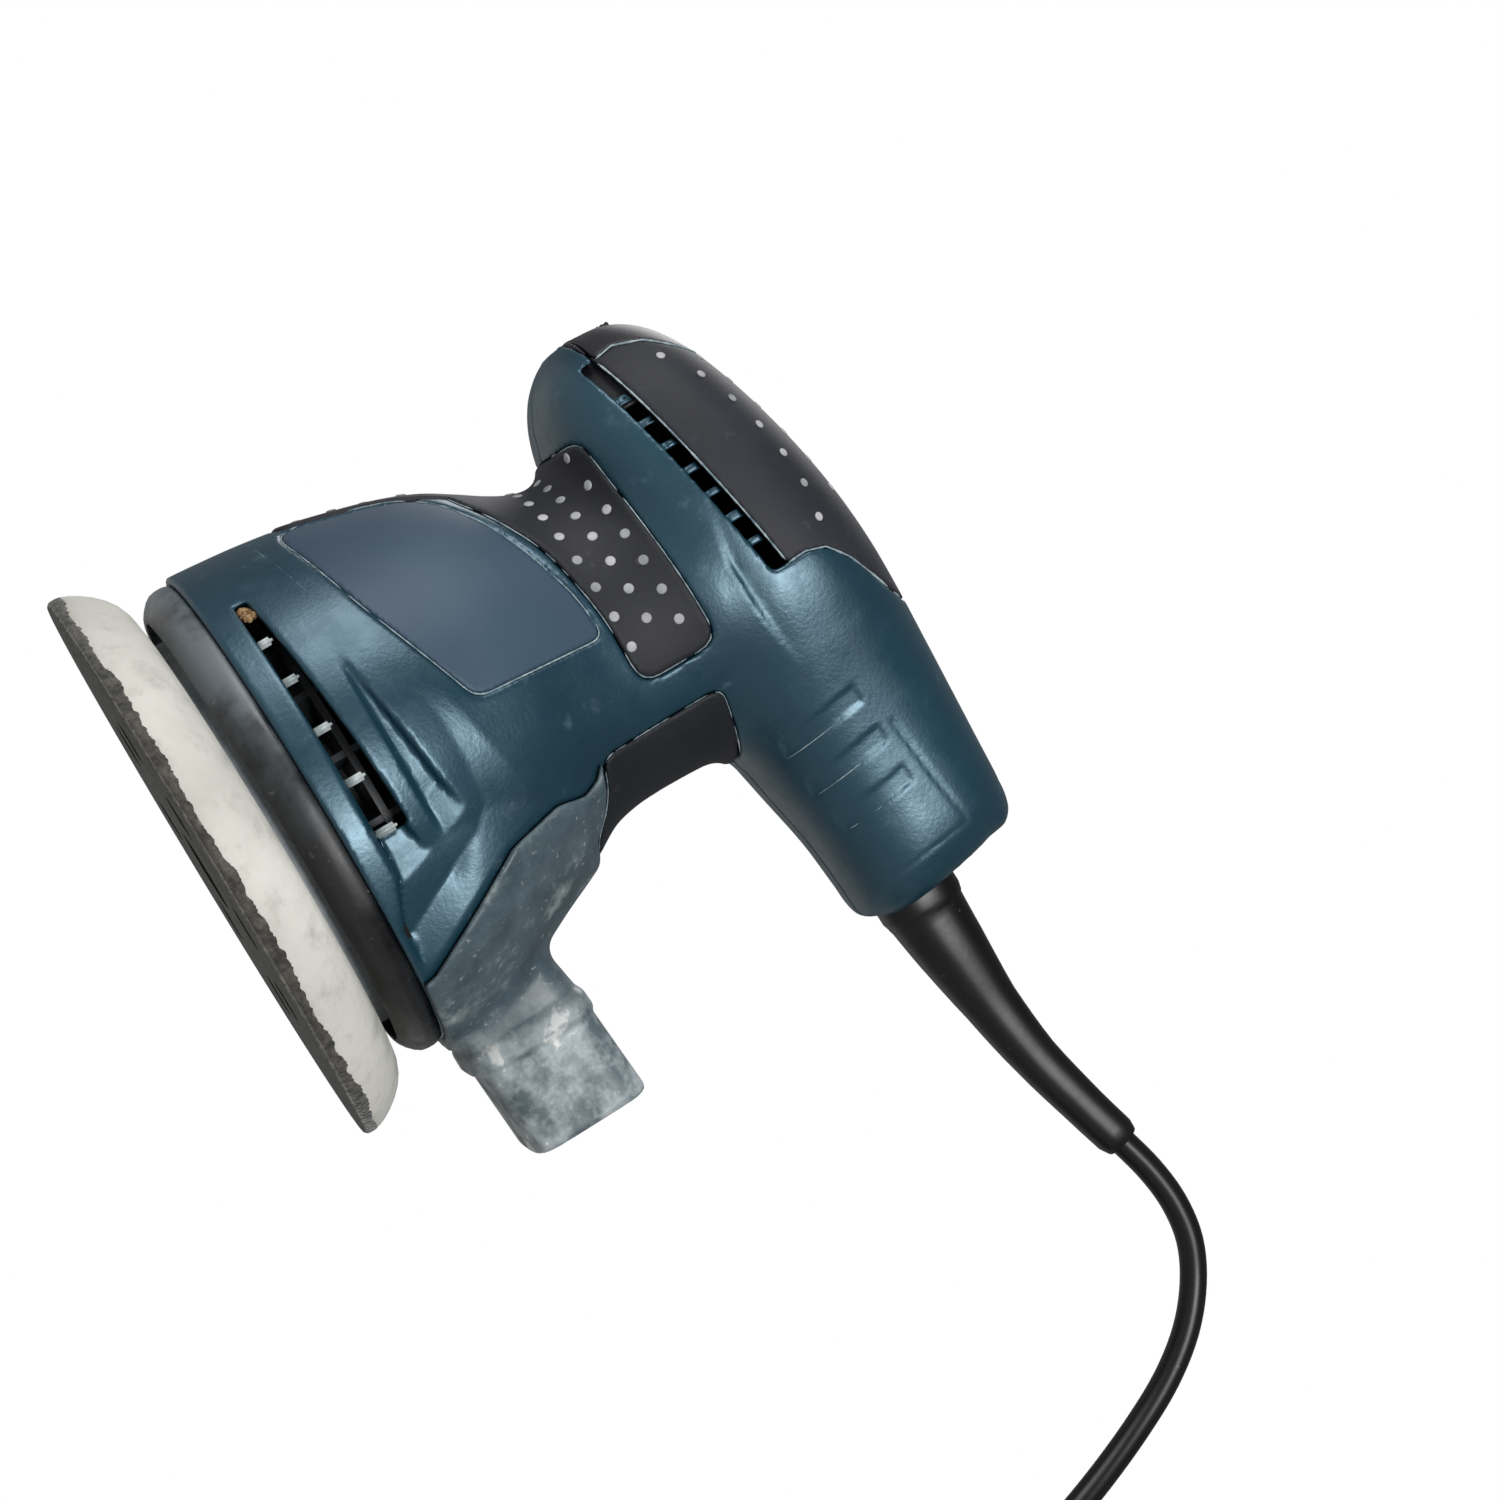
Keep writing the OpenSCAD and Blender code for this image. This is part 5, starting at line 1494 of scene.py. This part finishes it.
def rubber_scuffs_and_painted_highlight():
    """Brake ring: black rubber, specked with dust, grey over the front: partly scuffing, partly a painted
    highlight.
    """
    made, tree, surface = material("rubber_scuffs_and_painted_highlight", IOR=1.5, Specular_IOR_Level=0.5)
    cloud, speck = noise(tree, 11, 4, 0.6), noise(tree, 1.2, 4, 0.7)
    base = layered(tree, ((11, 4, 0.6), 0.45, 0.62, "#070709", "#141518"))
    # grey over the front of the ring: a painted highlight, broken into cloudy patches that also stand for
    # scuffing
    front = between(tree, along_axis(tree, place(tree), "X"), -0.035, 0.005, 0.85, 0)
    rubbed = math_node(tree, "MULTIPLY", front, between(tree, cloud, 0.38, 0.56))
    base = mixed(tree, rubbed, base, colour("#5c6469"))
    base = mixed(tree, between(tree, speck, 0.64, 0.8, 0, 0.6), base, colour("#8c8a8a"))
    tree.links.new(base, surface.inputs["Base Color"])
    rough_between(tree, surface, cloud, 0.4, 0.6, 0.24, 0.5)
    bumped(tree, surface, noise(tree, 0.8), 0.06, 0.6)
    return made


def pvc_lead():
    """Extruded PVC lead and moulded sleeve: smooth near-black with a soft sheen and light scuffs."""
    return finish("pvc_lead", ((9,), 0.3, 0.7, "#070708", "#0d0d0f"),
                  ((1.6, 4, 0.7), 0.68, 0.82, 0.5, "#6a6a6a"),
                  bump=((1.0,), 0.05, 0.4), Roughness=0.36, IOR=1.5, Specular_IOR_Level=0.3)


def turned_metal(name, tint, rough, lines_mm=0.6):
    """Machined metal: bright, with fine concentric tool marks."""
    made, tree, surface = material(name, Metallic=1.0)
    marks = noise(tree, 1.5)
    dark = (*[c * 0.8 for c in colour(tint)[:3]], 1)
    tree.links.new(mixed(tree, marks, colour(tint), dark), surface.inputs["Base Color"])
    rough_between(tree, surface, marks, 0.3, 0.7, rough - 0.06, rough + 0.06)
    bumped(tree, surface, waves(tree, lines_mm, 0.4, wave_type="RINGS", rings_direction="Z"), 0.01, 0.3)
    return made


def cast_alloy():
    """Die-cast aluminium: grey, slightly rough skin."""
    skin_grain = (1.2, 4, 0.6)
    return finish("die_cast_aluminium", (skin_grain, 0, 1, "#8f9294", "#b0b3b5"),
                  bump=(skin_grain, 0.05, 0.6), rough=(skin_grain, 0.3, 0.7, 0.38, 0.55), Metallic=1.0)


def dusty_alloy():
    """Pad plate: die-cast aluminium dulled by a film of sanding dust."""
    film = (3, 4, 0.65)
    return finish("dusty_alloy", (film, 0.35, 0.65, "#757b81", "#959a9d"), bump=(film, 0.05, 0.6),
                  rough=(film, 0.3, 0.7, 0.6, 0.8), Metallic=0.2, IOR=1.45, Specular_IOR_Level=0.3)


def striped(name, pattern, first, second, depth_mm, strength, **shader):
    """A material in two colours that follow a pattern, which is made from its tree."""
    made, tree, surface = material(name, **shader)
    stripes = pattern(tree)
    tree.links.new(mixed(tree, stripes, colour(first), colour(second)), surface.inputs["Base Color"])
    if depth_mm:
        bumped(tree, surface, stripes, depth_mm, strength)
    return made


def sheet_edges(tree):
    return waves(tree, 0.5, bands_direction="Z")


def wires(tree):
    return waves(tree, 0.7, 1.0)


def glass_weave(tree):
    return node(tree, "ShaderNodeTexChecker", {"Vector": place(tree), "Scale": 1200.0}).outputs["Fac"]


FINISHES = {
    "housing_plastic": spark_textured_abs(),
    "soft_grip": soft_tpe(),
    "black_plastic": moulded_nylon(),
    "label_plate": smooth_label_film(),
    "outlet_plastic": dusty_abs(),
    "brake_rubber": rubber_scuffs_and_painted_highlight(),
    "hook_fabric": hook_pile(),
    "pad_foam": closed_cell_foam(),
    "cast_alloy": cast_alloy(),
    "bright_steel": turned_metal("ground_steel", "#c4c7ca", 0.25),
    "screw_steel": turned_metal("zinc_plated_steel", "#8a8c90", 0.35, 0.9),
    # laminated core: dull steel edges, one line each half millimetre
    "lamination_steel": striped("stacked_sheet_steel", sheet_edges, "#55585b", "#7c8083", 0.05, 0.5,
                                Metallic=1.0, Roughness=0.5),
    # windings: lacquered copper wire laid side by side
    "winding_copper": striped("enamelled_wire", wires, "#6b2f16", "#b4602f", 0.1, 0.7,
                              Metallic=0.6, Roughness=0.35),
    "commutator_copper": turned_metal("turned_copper", "#b8683f", 0.3),
    "holder_brass": turned_metal("pressed_brass", "#c9a24e", 0.32, 1.2),
    "carbon": moulded_nylon("pressed_carbon", "#1c1c1d", "#2a2a2c"),
    "fan_plastic": moulded_nylon("fan_nylon", "#26282b", "#34373b"),
    # circuit board and its parts: green lacquer over woven glass
    "circuit_board": striped("fibreglass_board", glass_weave, "#24583a", "#2c6644", 0, 0,
                             Roughness=0.4, IOR=1.5),
    "terminal_plastic": moulded_nylon("terminal_polyamide", "#c9c5b7", "#dad7ca"),
    "lead_rubber": pvc_lead(),
}


def dress(piece, made):
    piece.data.materials.clear()
    piece.data.materials.append(made)


for sub in frame["record"]["subparts"]:
    dress(frame["nodes"][sub["node"]], FINISHES[sub["material_slot"]])
for piece in (lead, plug, plug_contacts, coil_tie, housing_left, housing_right, front_grip, rear_grip,
              label_plate, top_cap, switch_bezel, inlet_baffle, dust_hood, pad_foam, pad_hook, brake_ring,
              relief, slide_button):
    dress(piece, FINISHES[piece["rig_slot"]])
dots_finish = rubbed_tpe_dots()
dress(grip_dots, dots_finish)
dress(top_dots, dots_finish)
# pale beads: dust in the joints and painted highlight along the edges
dress(dust_and_highlight_beads, dust_and_edge_highlight())
dress(dust_lump, caked_wood_dust())
dress(outlet_ribs, dusty_rib_plastic())
dress(frame["nodes"]["pad_plate"], dusty_alloy())
dress(top_cap, soft_tpe("cap_tpe", "#1b1c22", "#26272e"))

# ---------------------------------------------------------------- floor and light


# Floor in metres: half width, height, where it starts to fade and where it has gone
floor_reach = 3.0
floor_z = -0.0003
fade_from = 0.35
fade_to = 0.9
# Rays shorter than this pass through the floor, so the hook face that stands on it isn't black
touching_ray = 0.005


def one_sided_floor():
    """Pale floor that fades out into the white room and shows from above only, because the photograph's
    view is from just below it."""
    made = bpy.data.materials.new("pale_floor")
    made.use_nodes = True
    tree = made.node_tree
    tree.nodes.clear()
    paint = node(tree, "ShaderNodeBsdfDiffuse", {"Color": colour("#c4c4c2")})
    clear = node(tree, "ShaderNodeBsdfTransparent")
    back = node(tree, "ShaderNodeNewGeometry").outputs["Backfacing"]
    away = node(tree, "ShaderNodeVectorMath", {0: place(tree)}, operation="LENGTH").outputs["Value"]
    travelled = node(tree, "ShaderNodeLightPath").outputs["Ray Length"]
    touching = math_node(tree, "LESS_THAN", travelled, touching_ray)
    gone = math_node(tree, "MAXIMUM", back, between(tree, away, fade_from, fade_to))
    gone = math_node(tree, "MAXIMUM", gone, touching)
    surface = node(tree, "ShaderNodeMixShader", {0: gone, 1: paint.outputs[0], 2: clear.outputs[0]})
    node(tree, "ShaderNodeOutputMaterial", {"Surface": surface.outputs[0]})
    return made


def add_floor():
    mesh = bpy.data.meshes.new("floor")
    corners = [(-1, -1), (1, -1), (1, 1), (-1, 1)]
    mesh.from_pydata([(x * floor_reach, y * floor_reach, floor_z) for x, y in corners], [], [(0, 1, 2, 3)])
    floor = bpy.data.objects.new("floor", mesh)
    bpy.context.scene.collection.objects.link(floor)
    mesh.materials.append(one_sided_floor())


def add_world():
    """White studio: white where it is seen, plain soft light where it lights the object."""
    world = bpy.data.worlds.new("studio")
    bpy.context.scene.world = world
    world.use_nodes = True
    tree = world.node_tree
    tree.nodes.clear()
    path = node(tree, "ShaderNodeLightPath")
    seen = math_node(tree, "MAXIMUM", path.outputs["Is Camera Ray"], path.outputs["Is Transmission Ray"])
    soft = node(tree, "ShaderNodeBackground", {"Color": (0.94, 0.97, 1.0, 1), "Strength": 0.2})
    white = node(tree, "ShaderNodeBackground", {"Color": (1, 1, 1, 1), "Strength": 1.0})
    both = node(tree, "ShaderNodeMixShader", {0: seen, 1: soft.outputs[0], 2: white.outputs[0]})
    node(tree, "ShaderNodeOutputWorld", {"Surface": both.outputs[0]})


# Place in metres that every lamp is turned to
lit_middle = (0.01, 0, 0.08)


def add_softbox(name, place_m, size, watts):
    data = bpy.data.lights.new(name, "AREA")
    data.shape = "DISK"
    data.size = size
    data.energy = watts
    light = bpy.data.objects.new(name, data)
    bpy.context.scene.collection.objects.link(light)
    light.location = place_m
    toward = Vector(lit_middle) - Vector(place_m)
    light.rotation_mode = "QUATERNION"
    light.rotation_quaternion = toward.to_track_quat("-Z", "Y")


add_floor()
add_world()
add_softbox("key", (0.30, -1.14, 0.33), 0.45, 12.5)
add_softbox("front", (-0.98, -0.5, 0.6), 0.8, 11)
add_softbox("back", (-0.5, 1.0, 1.0), 0.9, 9)
bpy.context.scene.view_settings.view_transform = "Standard"

# ---------------------------------------------------------------- image places of the features named in the image points


def seen_places(piece):
    """Image places of a piece's finished vertices."""
    bpy.context.view_layer.update()
    shown = piece.evaluated_get(bpy.context.evaluated_depsgraph_get())
    mesh = shown.to_mesh()
    points = np.empty(len(mesh.vertices) * 3)
    mesh.vertices.foreach_get("co", points)
    points = points.reshape(-1, 3)
    world = np.array(shown.matrix_world)
    points = points @ world[:3, :3].T + world[:3, 3]
    shown.to_mesh_clear()
    eye = np.array(camera.matrix_world.inverted())
    local = points @ eye[:3, :3].T + eye[:3, 3]
    scale = max(frame_w, frame_h) * camera.data.lens / camera.data.sensor_width / -local[:, 2]
    return np.stack([frame_w / 2 + local[:, 0] * scale, frame_h / 2 - local[:, 1] * scale], -1)


def extreme(pieces, axis, sign, near_y=None):
    """Image place of the outermost vertex of several pieces, or of those near one height in the image."""
    spots = np.concatenate([seen_places(p) for p in pieces])
    if near_y is not None:
        spots = spots[np.abs(spots[:, 1] - near_y) < 3]
    return spots[np.argmax(sign * spots[:, axis])]


def outline_extreme(outline, corner, axis, sign):
    """Outermost image place of a rounded outline on the left flank."""
    spots = np.array([in_image(flank_place(*p)) for p in fillet_corners(outline, corner, 8)])
    return spots[np.argmax(sign * spots[:, axis])]


def measure_points():
    found = {
        "pad_left": extreme([pad_hook, pad_foam], 0, -1),
        "pad_bottom": extreme([pad_hook, pad_foam], 1, 1),
        "cap_top": extreme([top_cap, switch_bezel], 1, -1),
        "handle_right": extreme([housing_left, housing_right], 0, 1, POINTS["handle_right"][1]),
        "spout_corner": extreme([dust_hood], 0, 1),
        "slot_front": in_image(flank_place(slot_x + 0.2, slot_edge(slot_x) - slot_show / 2 + 0.3)),
        "slot_rear": in_image(flank_place(slot_end - 0.4, slot_edge(slot_end) - slot_h + 0.4)),
        "label_front": in_image(flank_place(*LABEL[0])),
        "label_low": outline_extreme(LABEL, 3.0, 1, 1),
        "grip_corner": outline_extreme(WAIST_GRIP[2:8], waist_corner, 1, 1),
        "outlet_front": outline_extreme(OUTLET, 1.0, 0, -1),
        "relief_tip": in_image(np.array(EXIT) * MM),
    }
    for name, piece in (("grip_dot_a", grip_dots), ("grip_dot_b", grip_dots), ("cap_dot_a", top_dots),
                        ("cap_dot_b", top_dots)):
        spots = seen_places(piece)


measure_points()
